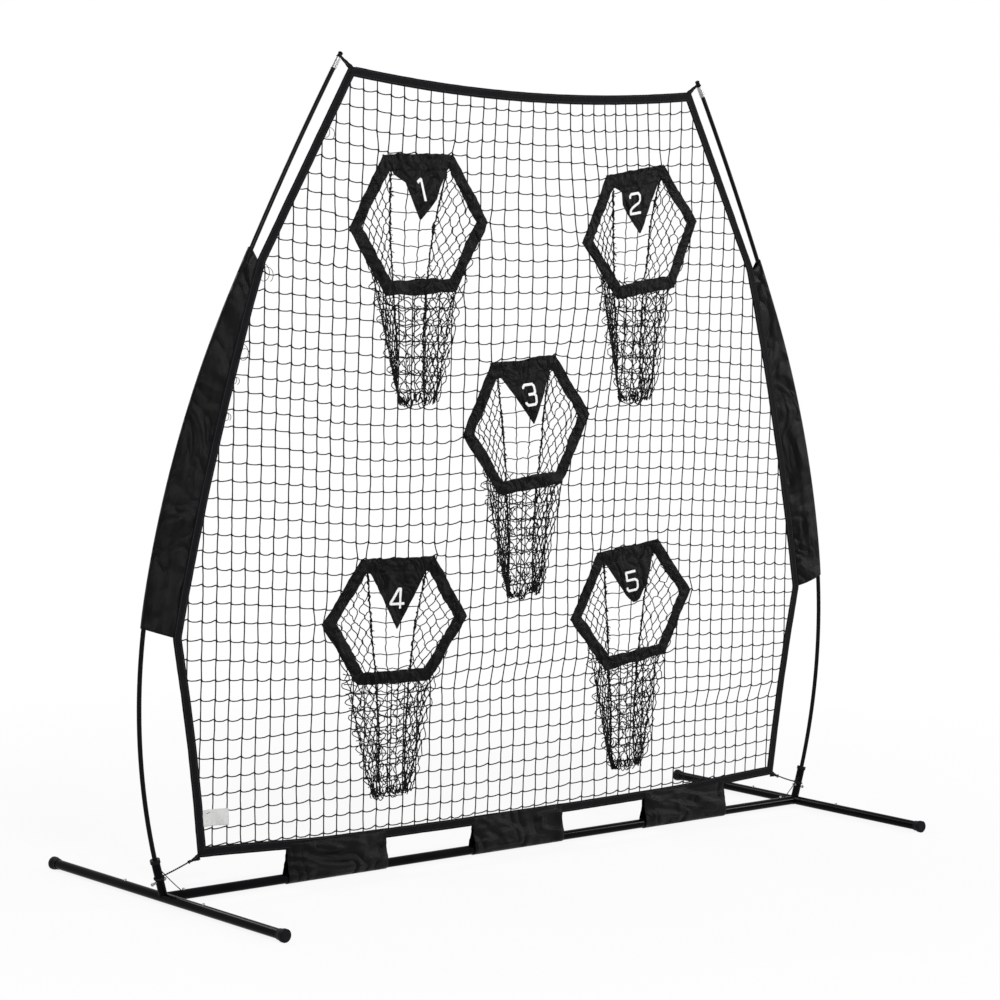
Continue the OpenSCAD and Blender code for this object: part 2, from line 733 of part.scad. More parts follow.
module tie_knots() {
    k = corner + tie_dir * knot_at;
    color([0.1, 0.1, 0.1]) for (side = ["left", "right"]) on_side(side) {
        translate([k[0], 0, k[1]]) sphere(r = knot_d / 2);
        in_socket(tie_loop_at) rotate_extrude() translate([loop_r, 0]) circle(r = tie_d / 2);
    }
}

module corner_tie(side) {
    color([0.1, 0.1, 0.1]) on_side(side)
        swept_cord(sag_route(tie_top3, tie_mid, tie_low3, 6), tie_d);
}

module tether(side) {
    color([0.1, 0.1, 0.1]) on_side(side)
        swept_cord(sag_route(tether_top, tether_mid, tether_foot, 9), tether_d);
}

module care_tag() {
    tag_t = 0.8;
    tag_z = 204;
    seam = 6;
    color("white") translate([-side_in_x(tag_z) - seam, -binding_t / 2 - tag_t, tag_z - tag_h / 2])
        cube([tag_w, tag_t, tag_h]);
}

// ---- pockets ----

module pocket_frame(i) {
    color([0.09, 0.09, 0.1]) upright(ring_t) difference() {
        hexagon_at(i, 0);
        hexagon_at(i, ring_band);
    }
}

module flag(i) {
    color([0.09, 0.09, 0.1]) upright(flag_t, flag_y) translate([pocket_x[i], pocket_z[i]])
        rotate(pocket_turn[i]) translate([0, flag_z])
            polygon([[-flag_w / 2, 0], [flag_w / 2, 0], [0, -flag_h]]);
}

// One level of a bag: four round corners of a thin slab, drawn in by a wall
module bag_level(s, wall) {
    half = s[1] - bag_corner_r;
    for (x = [-half, half]) for (y = [s[2] + bag_corner_r, s[3] - bag_corner_r])
        translate([s[4] + x, y, s[0]]) cylinder(r = bag_corner_r - wall, h = 1, $fn = 24);
}

module bag_solid(mouth_turn, wall, mouth_y0, mouth_y1, lift) {
    hull() {
        translate([0, mouth_y1, 0]) rotate([90, 0, 0]) linear_extrude(height = mouth_y1 - mouth_y0)
            rotate(mouth_turn) polygon(hexagon(rim_inset + wall));
        bag_level(bag_mouth_back, wall);
        bag_level(bag_throat, wall);
    }
    hull() {
        bag_level(bag_throat, wall);
        bag_level(bag_heel, wall);
    }
    hull() {
        bag_level(bag_heel, wall);
        translate([0, 0, lift]) bag_level(bag_bottom, wall);
    }
}

// A mesh bag as a closed shell, open only at its hexagonal mouth
module pocket_bag(i) {
    color([0.15, 0.15, 0.15]) translate([pocket_x[i], 0, pocket_z[i]]) difference() {
        bag_solid(pocket_turn[i], 0, bag_y, bag_y + 1.2, 0);
        bag_solid(pocket_turn[i], bag_wall, bag_y - 1, bag_y + 2, bag_wall);
    }
}

foot_centre("left");  // foot_centre_left
foot_centre("right");  // foot_centre_right
foot_tube("left", -1);  // foot_tube_front_left
foot_tube("left", 1);  // foot_tube_rear_left
foot_tube("right", -1);  // foot_tube_front_right
foot_tube("right", 1);  // foot_tube_rear_right
foot_caps();
crossbar_outer("left");  // crossbar_outer_left
crossbar_inner_left();
crossbar_inner_right();
crossbar_outer("right");  // crossbar_outer_right
at_foot_button("left", -1) button();  // button_front_left
at_foot_button("left", 1) button();  // button_rear_left
at_foot_button("right", -1) button();  // button_front_right
at_foot_button("right", 1) button();  // button_rear_right
at_bar_button("left") button();  // button_bar_left
at_bar_button("right") button();  // button_bar_right
button_springs();
pole_section("left", 0);  // pole_lower_left
pole_section("left", 1);  // pole_middle_left
pole_section("left", 2);  // pole_upper_left
pole_section("right", 0);  // pole_lower_right
pole_section("right", 1);  // pole_middle_right
pole_section("right", 2);  // pole_upper_right
pole_ferrules();
tip_caps();
pole_bushings();
socket_bolts();
corner_straps();
net_panel();
binding_top();
binding_bottom();
binding_side("left");  // binding_left
binding_side("right");  // binding_right
side_sleeve("left");  // side_sleeve_left
side_sleeve("right");  // side_sleeve_right
bar_tab(0);  // bar_tab_left
bar_tab(1);  // bar_tab_middle
bar_tab(2);  // bar_tab_right
pocket_frame(0);  // pocket_frame_1
pocket_frame(1);  // pocket_frame_2
pocket_frame(2);  // pocket_frame_3
pocket_frame(3);  // pocket_frame_4
pocket_frame(4);  // pocket_frame_5
pocket_bag(0);  // pocket_bag_1
pocket_bag(1);  // pocket_bag_2
pocket_bag(2);  // pocket_bag_3
pocket_bag(3);  // pocket_bag_4
pocket_bag(4);  // pocket_bag_5
flag(0);  // flag_1
flag(1);  // flag_2
flag(2);  // flag_3
flag(3);  // flag_4
flag(4);  // flag_5
corner_tie("left");  // corner_tie_left
corner_tie("right");  // corner_tie_right
tether("left");  // tether_left
tether("right");  // tether_right
tie_knots();
care_tag();
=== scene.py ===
# %% [markdown]
# # A pitching target net
# Two steel feet and a crossbar carry two bowed fibreglass poles, and a square-mesh net is
# stretched between them. Five hexagonal pockets in the net have a numbered flap and a mesh bag.
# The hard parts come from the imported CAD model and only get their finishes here. The soft
# parts, which CAD shows as plain solids, are made again as cloth, webbing and cord.

# %% Load the frame and keep its box
import bisect
import json
import math
import random
import bpy
from mathutils import Matrix, Vector, noise
from mathutils.bvhtree import BVHTree

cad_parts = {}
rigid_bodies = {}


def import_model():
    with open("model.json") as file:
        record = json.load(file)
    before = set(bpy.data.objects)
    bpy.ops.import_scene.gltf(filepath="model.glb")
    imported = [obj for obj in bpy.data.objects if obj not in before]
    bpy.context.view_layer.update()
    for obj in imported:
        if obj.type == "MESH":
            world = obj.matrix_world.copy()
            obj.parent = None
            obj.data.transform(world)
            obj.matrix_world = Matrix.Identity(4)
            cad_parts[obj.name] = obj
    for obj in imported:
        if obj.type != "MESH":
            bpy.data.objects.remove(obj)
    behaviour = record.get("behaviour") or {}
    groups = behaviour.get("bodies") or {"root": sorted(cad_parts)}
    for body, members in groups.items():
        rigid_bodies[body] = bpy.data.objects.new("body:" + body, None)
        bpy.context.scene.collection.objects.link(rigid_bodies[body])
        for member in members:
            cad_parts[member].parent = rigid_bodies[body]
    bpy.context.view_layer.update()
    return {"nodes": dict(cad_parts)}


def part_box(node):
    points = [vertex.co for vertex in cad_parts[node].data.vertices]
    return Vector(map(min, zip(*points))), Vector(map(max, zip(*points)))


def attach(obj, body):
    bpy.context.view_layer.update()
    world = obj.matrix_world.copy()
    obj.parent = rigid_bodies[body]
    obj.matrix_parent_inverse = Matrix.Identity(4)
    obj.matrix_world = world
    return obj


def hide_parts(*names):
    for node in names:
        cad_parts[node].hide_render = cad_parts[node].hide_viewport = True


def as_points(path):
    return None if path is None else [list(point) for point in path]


bpy.ops.object.select_all(action="SELECT")
bpy.ops.object.delete()
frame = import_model()
bpy.ops.object.select_all(action="DESELECT")

# %% [markdown]
# ## The camera
# The thrower's side is -Y. The camera stands to the left and looks slightly down. A long lens
# from far away keeps the wide net from splaying.

# %% The camera
EYE, LENS = (-5.303, -5.901, 1.647), 104.62
SWING, DOWN, ROLL = 0.726, 0.085, 0.025
sight = Vector((math.sin(SWING) * math.cos(DOWN), math.cos(SWING) * math.cos(DOWN),
                -math.sin(DOWN)))
level = Vector((math.cos(SWING), -math.sin(SWING), 0))
upward = level.cross(sight)
camera_x = level * math.cos(ROLL) + upward * math.sin(ROLL)
camera_y = upward * math.cos(ROLL) - level * math.sin(ROLL)
bpy.ops.object.camera_add()
camera = bpy.context.object
camera.name = "camera"
turn = Matrix((camera_x, camera_y, -sight)).transposed().to_4x4()
camera.matrix_world = Matrix.Translation(EYE) @ turn
camera.data.lens = LENS
bpy.context.scene.camera = camera

# %% [markdown]
# ## Small helpers for nodes
# Every finish is a Principled shader whose colour, roughness and bump come from node groups.
# A group is built once, for example for the weave of a cloth, and each material gives it its
# own thread size. These helpers add a node with its inputs in one line.

# %% Helpers for nodes
def add_node(tree, kind, inputs=None, **settings):
    """Adds a node, sets its options and fills or links its inputs."""
    node = tree.nodes.new(kind)
    for key, value in settings.items():
        setattr(node, key, value)
    for key, value in (inputs or {}).items():
        if isinstance(value, bpy.types.NodeSocket):
            tree.links.new(value, node.inputs[key])
        else:
            node.inputs[key].default_value = value
    return node


def calc(tree, operation, a, b=0.0, c=0.0):
    """One step of arithmetic between numbers or sockets."""
    return add_node(tree, "ShaderNodeMath", {0: a, 1: b, 2: c}, operation=operation).outputs[0]


def coordinates(tree):
    """The outputs that say where a point lies: "Object" is in metres, "UV" is along the cloth."""
    return add_node(tree, "ShaderNodeTexCoord").outputs


def mottle(tree, where, scale, detail, **more):
    """Smooth random spots between 0 and 1."""
    inputs = {"Vector": where, "Scale": scale, "Detail": detail, **more}
    return add_node(tree, "ShaderNodeTexNoise", inputs).outputs["Fac"]


def remap(tree, value, start=(0.0, 1.0), to=(0.0, 1.0)):
    """Stretches a value from the range `start` to the range `to`."""
    inputs = {"Value": value, "From Min": start[0], "From Max": start[1],
              "To Min": to[0], "To Max": to[1]}
    return add_node(tree, "ShaderNodeMapRange", inputs).outputs["Result"]


def between(tree, mask, dark, light):
    """A colour between two others, as the mask says. They are three numbers or a socket."""
    ends = [c if isinstance(c, bpy.types.NodeSocket) else (*c, 1) for c in (dark, light)]
    return add_node(tree, "ShaderNodeMix", {"Factor": mask, "A": ends[0], "B": ends[1]},
                    data_type="RGBA").outputs["Result"]


def new_group(name, inputs, outputs):
    """An empty node group. An input is a number with its first value, or None for a vector."""
    group = bpy.data.node_groups.new(name, "ShaderNodeTree")
    for label, value in inputs.items():
        kind = "Vector" if value is None else "Float"
        socket = group.interface.new_socket(label, in_out="INPUT", socket_type="NodeSocket" + kind)
        if value is not None:
            socket.default_value = value
    for label in outputs:
        group.interface.new_socket(label, in_out="OUTPUT", socket_type="NodeSocketFloat")
    way_in, way_out = group.nodes.new("NodeGroupInput"), group.nodes.new("NodeGroupOutput")
    return group, way_in.outputs, way_out.inputs


# %% [markdown]
# ## The groups
# `braid` is the twist of a cord: two plies that wind round it, with painted shade in the
# grooves between them. `weave` crosses warp and weft threads, and its shade is a random tone
# with a little painted shade where the weave dips. `creases` is the crumple of coated cloth,
# bent folds with rounded dents between them. `stitches` draws one row of short threads. `rub`
# is a patchy mask for dust and for places that hands have polished.

# %% The braid of a cord
def braid_group():
    inputs = {"Around": 0.0, "Along": 0.0, "Plies": 2.0, "Turns": 150.0}
    group, given, result = new_group("braid", inputs, ["Height", "Shade"])
    wound = calc(group, "MULTIPLY", given["Around"], given["Plies"])
    advanced = calc(group, "MULTIPLY", given["Along"], given["Turns"])
    angle = calc(group, "MULTIPLY", calc(group, "ADD", wound, advanced), 2 * math.pi)
    height = calc(group, "ABSOLUTE", calc(group, "SINE", angle))
    group.links.new(height, result["Height"])
    # The shade is painted: the crowns of the plies are lighter and the grooves between them darker.
    group.links.new(calc(group, "MULTIPLY_ADD", height, 0.5, 0.5), result["Shade"])
    return group


# %% The weave of a cloth
def weave_group():
    group, given, result = new_group("weave", {"Vector": None, "Threads": 1400.0},
                                     ["Height", "Shade"])
    place = add_node(group, "ShaderNodeSeparateXYZ", {0: given["Vector"]})
    waves = []
    for side in (0, 1):
        phase = calc(group, "MULTIPLY", place.outputs[side], given["Threads"])
        waves.append(calc(group, "SINE", calc(group, "MULTIPLY", phase, 2 * math.pi)))
    crossed = calc(group, "MULTIPLY", waves[0], waves[1])
    soft = mottle(group, given["Vector"], 60.0, 3.0)
    # The shade is a random tone from the noise, plus a little painted shade where the weave dips.
    shade = calc(group, "ADD", calc(group, "MULTIPLY", crossed, 0.12), soft)
    group.links.new(crossed, result["Height"])
    group.links.new(shade, result["Shade"])
    return group


# %% The creases of coated cloth
def creases_group():
    group, given, result = new_group("creases", {"Vector": None, "Size": 28.0, "Detail": 4.0},
                                     ["Height"])
    bent = mottle(group, given["Vector"], given["Size"], given["Detail"], Roughness=0.55,
                  Distortion=0.8)
    folded = calc(group, "ABSOLUTE", calc(group, "SUBTRACT", bent, 0.5))
    dents = add_node(group, "ShaderNodeTexVoronoi",
                     {"Vector": given["Vector"], "Scale": given["Size"]}, feature="SMOOTH_F1")
    height = calc(group, "ADD", calc(group, "MULTIPLY", folded, 2.0),
                  calc(group, "MULTIPLY", dents.outputs["Distance"], 0.3))
    group.links.new(height, result["Height"])
    return group


# %% A row of stitches, and rubbed or dusty patches
STITCH_HALF, STITCH_SHARE = 0.0006, 0.72


def stitches_group():
    inputs = {"Across": 0.0, "Along": 0.0, "Row": 0.004, "Pitch": 0.004}
    group, given, result = new_group("stitches", inputs, ["Mask"])
    off = calc(group, "ABSOLUTE", calc(group, "SUBTRACT", given["Across"], given["Row"]))
    step = calc(group, "FRACT", calc(group, "DIVIDE", given["Along"], given["Pitch"]))
    mask = calc(group, "MULTIPLY", calc(group, "LESS_THAN", off, STITCH_HALF),
                calc(group, "LESS_THAN", step, STITCH_SHARE))
    group.links.new(mask, result["Mask"])
    return group


def rub_group():
    group, given, result = new_group("rub", {"Vector": None, "Scale": 9.0, "Cover": 0.3}, ["Mask"])
    wide = mottle(group, given["Vector"], given["Scale"], 5.0, Roughness=0.6)
    edge = calc(group, "SUBTRACT", 1.0, given["Cover"])
    group.links.new(remap(group, wide, (0.35, edge)), result["Mask"])
    return group


GROUPS = {"braid": braid_group(), "weave": weave_group(), "creases": creases_group(),
          "stitches": stitches_group(), "rub": rub_group()}
print("node groups", sorted(GROUPS))

# %% [markdown]
# ## Starting a material
# `start_finish` makes the shader with the sockets that are the same all over the surface. The
# functions after it add what changes over the surface.

# %% Starting a material
def start_finish(name, color, roughness, metallic=0.0, specular=0.5):
    material = bpy.data.materials.new(name)
    material.use_nodes = True
    tree = material.node_tree
    shader = tree.nodes["Principled BSDF"]
    shader.inputs["Base Color"].default_value = (*color, 1)
    shader.inputs["Roughness"].default_value = roughness
    shader.inputs["Metallic"].default_value = metallic
    shader.inputs["Specular IOR Level"].default_value = specular
    material.diffuse_color = (*color, 1)
    return material, tree, shader


def place_group(tree, name, **inputs):
    return add_node(tree, "ShaderNodeGroup", inputs, node_tree=GROUPS[name]).outputs


def emboss(tree, shader, steps):
    """Chains bumps, each a height with its distance in metres, into the shader's normal."""
    normal = None
    for height, distance in steps:
        bump = add_node(tree, "ShaderNodeBump", {"Height": height, "Distance": distance,
                                                 "Strength": 1.0})
        if normal:
            tree.links.new(normal, bump.inputs["Normal"])
        normal = bump.outputs["Normal"]
    tree.links.new(normal, shader.inputs["Normal"])


# %% [markdown]
# ## Hard finishes
# The tubes have a glossy black powder coat with hand marks, the caps are dull rubber with a
# fine grain, the poles show the long fibres of pultruded fibreglass, and the small metal parts
# are turned or stamped, so their scratches run round them.

# %% Hard finishes
def coated_tube():
    material, tree, shader = start_finish("tube_coat", (0.002, 0.002, 0.003), 0.1, specular=0.035)
    where = coordinates(tree)["Object"]
    marks = place_group(tree, "rub", Vector=where, Scale=11.0, Cover=0.35)["Mask"]
    tree.links.new(between(tree, marks, (0.001, 0.001, 0.0015), (0.003, 0.003, 0.004)),
                   shader.inputs["Base Color"])
    tree.links.new(remap(tree, marks, to=(0.05, 0.12)), shader.inputs["Roughness"])
    emboss(tree, shader, [(mottle(tree, where, 500.0, 2.0), 0.000006)])
    return material


def grained_black(name, color, roughness, grain, depth):
    material, tree, shader = start_finish(name, color, roughness, specular=0.05)
    where = coordinates(tree)["Object"]
    grains = add_node(tree, "ShaderNodeTexVoronoi", {"Vector": where, "Scale": grain})
    dust = place_group(tree, "rub", Vector=where, Scale=30.0, Cover=0.25)["Mask"]
    light = tuple(v * 2.2 for v in color)
    tree.links.new(between(tree, dust, color, light), shader.inputs["Base Color"])
    emboss(tree, shader, [(grains.outputs["Distance"], depth)])
    return material


def fibre_pole():
    material, tree, shader = start_finish("pole_fibreglass", (0.004, 0.004, 0.005), 0.3,
                                          specular=0.06)
    long = add_node(tree, "ShaderNodeMapping", {"Vector": coordinates(tree)["Object"],
                                                "Scale": (700, 700, 6)})
    fibres = mottle(tree, long.outputs[0], 1.0, 3.0)
    tree.links.new(between(tree, fibres, (0.0015, 0.0015, 0.002), (0.006, 0.006, 0.007)),
                   shader.inputs["Base Color"])
    emboss(tree, shader, [(fibres, 0.00005)])
    return material


def bare_metal(name, color, roughness, pitch):
    material, tree, shader = start_finish(name, color, roughness, metallic=1.0)
    where = coordinates(tree)["Object"]
    rings = add_node(tree, "ShaderNodeMapping", {"Vector": where, "Scale": (40, 40, pitch)})
    scratches = mottle(tree, rings.outputs[0], 1.0, 4.0)
    marks = place_group(tree, "rub", Vector=where, Scale=60.0, Cover=0.3)["Mask"]
    dark = tuple(v * 0.6 for v in color)
    tree.links.new(between(tree, marks, color, dark), shader.inputs["Base Color"])
    tree.links.new(remap(tree, scratches, to=(roughness - 0.1, roughness + 0.15)),
                   shader.inputs["Roughness"])
    emboss(tree, shader, [(scratches, 0.00004)])
    return material


DARK_PLASTIC = (0.005, 0.005, 0.006)
FINISH = {"tube_coat": coated_tube(),
          "cap_rubber": grained_black("cap_rubber", DARK_PLASTIC, 0.5, 700.0, 0.00008),
          "moulded_black": grained_black("moulded_black", DARK_PLASTIC, 0.42, 1100.0, 0.00004),
          "pole_fibreglass": fibre_pole(),
          "ferrule_alloy": bare_metal("ferrule_alloy", (0.40, 0.40, 0.41), 0.3, 1500.0),
          "spring_steel": bare_metal("spring_steel", (0.55, 0.56, 0.57), 0.28, 600.0),
          "bolt_steel": bare_metal("bolt_steel", (0.3, 0.3, 0.31), 0.4, 900.0)}

# %% [markdown]
# ## Soft finishes
# The net and its bags are twisted polyester cord, with painted shade in the grooves of the twist.
# The straps and the border are ribbed webbing with two rows of stitches. The sleeves, the tabs
# and the pocket frames are coated satin cloth with broad soft highlights and painted shade in
# the hollows of their creases. The flaps are the same cloth, and their numbers are a thick
# white print that has small cracks.

# %% Cord
def cord_finish(name, turns, depth, dark, light):
    material, tree, shader = start_finish(name, dark, 0.6, specular=0.05)
    spots = coordinates(tree)
    where = add_node(tree, "ShaderNodeSeparateXYZ", {0: spots["Object"]}).outputs
    around = add_node(tree, "ShaderNodeSeparateXYZ", {0: spots["UV"]}).outputs["X"]
    along = calc(tree, "ADD", where["X"], where["Z"])
    twist = place_group(tree, "braid", Around=around, Along=along, Turns=turns)
    # The colour carries the braid's painted shade: lighter on the plies, darker in the grooves.
    tree.links.new(between(tree, twist["Shade"], dark, light), shader.inputs["Base Color"])
    emboss(tree, shader, [(twist["Height"], depth)])
    return material


# %% Webbing
STITCH_ROWS = (0.004, 0.020)


def webbing_finish():
    material, tree, shader = start_finish("webbing", (0.008, 0.008, 0.009), 0.6, specular=0.05)
    cloth = coordinates(tree)["UV"]
    split = add_node(tree, "ShaderNodeSeparateXYZ", {0: cloth}).outputs
    weave = place_group(tree, "weave", Vector=cloth, Threads=700.0)
    rows = [place_group(tree, "stitches", Across=split["Y"], Along=split["X"], Row=row)["Mask"]
            for row in STITCH_ROWS]
    thread = calc(tree, "MAXIMUM", *rows)
    # The weave's shade is a random tone with a little painted shade where the threads dip.
    woven = between(tree, weave["Shade"], (0.002, 0.002, 0.003), (0.008, 0.008, 0.009))
    tree.links.new(between(tree, thread, woven, (0.035, 0.035, 0.037)), shader.inputs["Base Color"])
    emboss(tree, shader, [(weave["Height"], 0.00012), (thread, 0.0003)])
    return material


# %% Satin cloth
def satin_finish(name, dark, light, size, depth, roughness, detail=4.0, specular=0.08):
    """The colour is painted shade: the hollows of the creases stay dark, and the raised folds and
    worn places of the cloth are lighter.
    """
    material, tree, shader = start_finish(name, dark, roughness, specular=specular)
    spots = coordinates(tree)
    weave = place_group(tree, "weave", Vector=spots["UV"], Threads=1500.0)
    creases = place_group(tree, "creases", Vector=spots["Object"], Size=size,
                          Detail=detail)["Height"]
    worn = place_group(tree, "rub", Vector=spots["Object"], Scale=14.0, Cover=0.3)["Mask"]
    # Painted shade: the colour darkens in the hollows of the creases and lightens on the raised
    # folds, and worn places and the weave's tone add to it.
    crease_shade_and_wear = calc(tree, "MULTIPLY", calc(tree, "MULTIPLY", weave["Shade"], worn),
                remap(tree, creases, (0.10, 0.42)))
    tree.links.new(between(tree, crease_shade_and_wear, dark, light), shader.inputs["Base Color"])
    tree.links.new(remap(tree, worn, to=(roughness - 0.06, roughness + 0.1)),
                   shader.inputs["Roughness"])
    emboss(tree, shader, [(creases, depth), (weave["Height"], 0.00006)])
    return material


# %% Printed numbers
def print_finish():
    material, tree, shader = start_finish("number_print", (0.84, 0.84, 0.84), 0.45)
    cracks = add_node(tree, "ShaderNodeTexVoronoi", {"Vector": coordinates(tree)["Object"],
                                                     "Scale": 240.0}, feature="DISTANCE_TO_EDGE")
    gap = remap(tree, cracks.outputs["Distance"], (0.0, 0.04))
    tree.links.new(between(tree, gap, (0.66, 0.66, 0.66), (0.86, 0.86, 0.86)),
                   shader.inputs["Base Color"])
    emboss(tree, shader, [(gap, 0.0001)])
    return material


# %% The soft finishes, with the larger creases of the sleeves and tabs
CORD_DARK, CORD_LIGHT = (0.004, 0.004, 0.005), (0.011, 0.011, 0.012)
DARK_CLOTH = (0.0008, 0.0008, 0.001)
FINISH["net_cord"] = cord_finish("net_cord", 160.0, 0.0004, CORD_DARK, CORD_LIGHT)
FINISH["bag_mesh"] = cord_finish("bag_mesh", 170.0, 0.0004, CORD_DARK, CORD_LIGHT)
FINISH["tie_cord"] = cord_finish("tie_cord", 300.0, 0.0005, (0.007, 0.007, 0.008),
                                 (0.022, 0.022, 0.023))
FINISH["webbing"] = webbing_finish()
FINISH["satin_cloth"] = satin_finish("satin_cloth", DARK_CLOTH, (0.020, 0.020, 0.021),
                                     15.0, 0.016, 0.34, detail=2.0, specular=0.06)
SLEEVE_CLOTH = satin_finish("satin_sleeve", (0.001, 0.001, 0.0012), (0.011, 0.011, 0.012),
                            6.5, 0.028, 0.34, detail=2.2, specular=0.07)
TAB_CLOTH = satin_finish("satin_tab", DARK_CLOTH, (0.014, 0.014, 0.015),
                         8.0, 0.018, 0.32, detail=1.2, specular=0.08)
FINISH["flag_cloth"] = satin_finish("flag_cloth", DARK_CLOTH, (0.016, 0.016, 0.017),
                                    15.0, 0.012, 0.36, detail=2.0, specular=0.055)
FINISH["tag_cloth"] = satin_finish("tag_cloth", (0.64, 0.64, 0.63), (0.76, 0.76, 0.75),
                                   40.0, 0.0012, 0.55)
NUMBER_PRINT = print_finish()
print("finishes", len(FINISH) + 3)

# %% [markdown]
# ## Laying cords and cloth
# A cord is a line of points with a round section, made with a curve and then turned into a
# mesh. A cloth is a grid whose points are laid one by one, and Solidify gives it its thickness.
# Both end with their finish and with the body that they move with. The small
# helpers shape them: `crumple` is for folds, `ease` for soft starts, `fuller` for flat tubes.

# %% Laying cords
def finish_piece(piece, slot_name, body="frame", material=None):
    """Gives a piece its finish, picked by the slot's name unless a material is given, and the body
    that it moves with.
    """
    piece.data.materials.clear()
    piece.data.materials.append(material or FINISH[slot_name])
    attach(piece, body)
    return piece


def lay_strands(name, lines, radius, sides=1):
    """One mesh of round strands. A line's points are (x, y, z) or (x, y, z, thickness)."""
    curve = bpy.data.curves.new(name, "CURVE")
    curve.dimensions = "3D"
    curve.bevel_depth = radius
    curve.bevel_resolution = sides
    curve.use_fill_caps = True
    for line in lines:
        spline = curve.splines.new("POLY")
        spline.points.add(len(line) - 1)
        flat = []
        for point in line:
            flat.extend((point[0], point[1], point[2], 1.0))
        spline.points.foreach_set("co", flat)
        if len(line[0]) > 3:
            spline.points.foreach_set("radius", [point[3] for point in line])
    piece = bpy.data.objects.new(name, curve)
    bpy.context.scene.collection.objects.link(piece)
    bpy.ops.object.select_all(action="DESELECT")
    piece.select_set(True)
    bpy.context.view_layer.objects.active = piece
    bpy.ops.object.convert(target="MESH")
    return bpy.context.object


# %% Laying cloth
DOUBLE = 0.00005


def lay_cloth(name, place, size, columns, rows, thickness=0.0, offset=-1.0, weld=False, flip=False):
    """A grid of columns x rows whose points go to place(u, v), with u and v from 0 to 1.

    weld closes a tube along its edges, flip turns the faces to the other side, and thickness
    grows behind them at offset -1, in front at 1 and on both sides at 0."""
    bpy.ops.object.select_all(action="DESELECT")
    bpy.ops.mesh.primitive_grid_add(x_subdivisions=columns, y_subdivisions=rows, size=1)
    piece = bpy.context.object
    piece.name = piece.data.name = name
    for point in piece.data.vertices:
        point.co = place(point.co.x + 0.5, point.co.y + 0.5)
    for corner in piece.data.uv_layers.active.data:
        corner.uv = (corner.uv[0] * size[0], corner.uv[1] * size[1])
    if weld or flip:
        bpy.ops.object.mode_set(mode="EDIT")
        bpy.ops.mesh.select_all(action="SELECT")
        if weld:
            bpy.ops.mesh.remove_doubles(threshold=DOUBLE)
            bpy.ops.mesh.normals_make_consistent(inside=False)
        if flip:
            bpy.ops.mesh.flip_normals()
        bpy.ops.object.mode_set(mode="OBJECT")
    if thickness:
        wall = piece.modifiers.new("thickness", "SOLIDIFY")
        wall.thickness, wall.offset = thickness, offset
        bpy.ops.object.modifier_apply(modifier="thickness")
    bpy.ops.object.shade_smooth()
    return piece


def join_pieces(pieces, name):
    """Joins several meshes to one, under a new name."""
    bpy.ops.object.select_all(action="DESELECT")
    for piece in pieces:
        piece.select_set(True)
    bpy.context.view_layer.objects.active = pieces[0]
    bpy.ops.object.join()
    pieces[0].name = pieces[0].data.name = name
    return pieces[0]


# %% Small helpers for shapes
MM = 0.001
BACK = Vector((0, 1, 0))
SIDES = {"left": -1, "right": 1}


def crumple(x, y, z, scale, seed=0.0):
    """Smooth noise between -1 and 1, with the place in metres and scale in bumps per metre."""
    return noise.noise(Vector((x * scale + seed, y * scale - seed, z * scale + 3.1 * seed)))


def ease(low, high, value):
    """0 up to low, 1 from high on, and a smooth climb between them."""
    t = min(1.0, max(0.0, (value - low) / (high - low)))
    return t * t * (3 - 2 * t)


def fuller(wave, power):
    """A sine or cosine with fuller shoulders. The power is 1 for round and 0 for square."""
    return math.copysign(abs(wave) ** power, wave)


def tilted(angle):
    """The way along a tube that leans to the right by an angle, and the way out of it."""
    c, s = math.cos(angle), math.sin(angle)
    return Vector((s, 0, c)), Vector((c, 0, -s))


# %% [markdown]
# ## Ties at the bottom corners
# A doubled cord runs from a knot under the net's bottom corner to two turns round the pole's
# socket, and a thin tether goes from the socket to the crossbar. Both are held at their two
# ends, so they sag a little.

# %% Routes of the ties and tethers, right-hand side
KNOT = Vector((1.0800, 0, 0.0979))
TIE = [Vector((1.0838, 0, 0.09665)), Vector((1.1213, 0, 0.0835)), Vector((1.1588, 0, 0.0723))]
TETHER = [Vector((1.1689, -0.006, 0.0861)), Vector((1.1369, -0.006, 0.0552)),
          Vector((1.105, -0.006, 0.0273))]
FOOT = Vector((1.157, 0, 0.0166))
SOCKET_AXIS, SOCKET_OUT = tilted(math.radians(16.3))
TIE_R, KNOT_R, KNOT_SIZE = 0.00125, 0.00135, 0.00145
TURNS_LOW, TURNS_RISE, TURNS_R = 0.0515, 0.0050, 0.0127


def sagging(route, steps=24):
    """A curve through the three points of a route."""
    a, m, b = route
    return [a * (1 - t) * (1 - 2 * t) + m * 4 * t * (1 - t) + b * t * (2 * t - 1)
            for t in (i / steps for i in range(steps + 1))]


def path_length(path):
    return sum((b - a).length for a, b in zip(path, path[1:]))


def mirrored(path):
    return [Vector((-p[0], *p[1:])) for p in path]


def plies(path, reach, turns):
    """Two lines that wind round a path, for a doubled cord."""
    lines = [[], []]
    for i, point in enumerate(path):
        ahead = (path[min(i + 1, len(path) - 1)] - path[max(i - 1, 0)]).normalized()
        side = ahead.cross(BACK).normalized()
        up = side.cross(ahead)
        for k in (0, 1):
            angle = 2 * math.pi * (turns * i / (len(path) - 1) + k / 2)
            lines[k].append(point + reach * (math.cos(angle) * side + math.sin(angle) * up))
    return lines


# %% Ties, tethers, knots and the turns round the socket
def knot_line():
    """A small overhand knot: a trefoil, drawn tight."""
    line = []
    for i in range(73):
        t = 2 * math.pi * i / 72
        x, z = math.sin(t) + 2 * math.sin(2 * t), math.cos(t) - 2 * math.cos(2 * t)
        line.append(KNOT + KNOT_SIZE * Vector((x, math.sin(3 * t) * 1.2, z)))
    return line


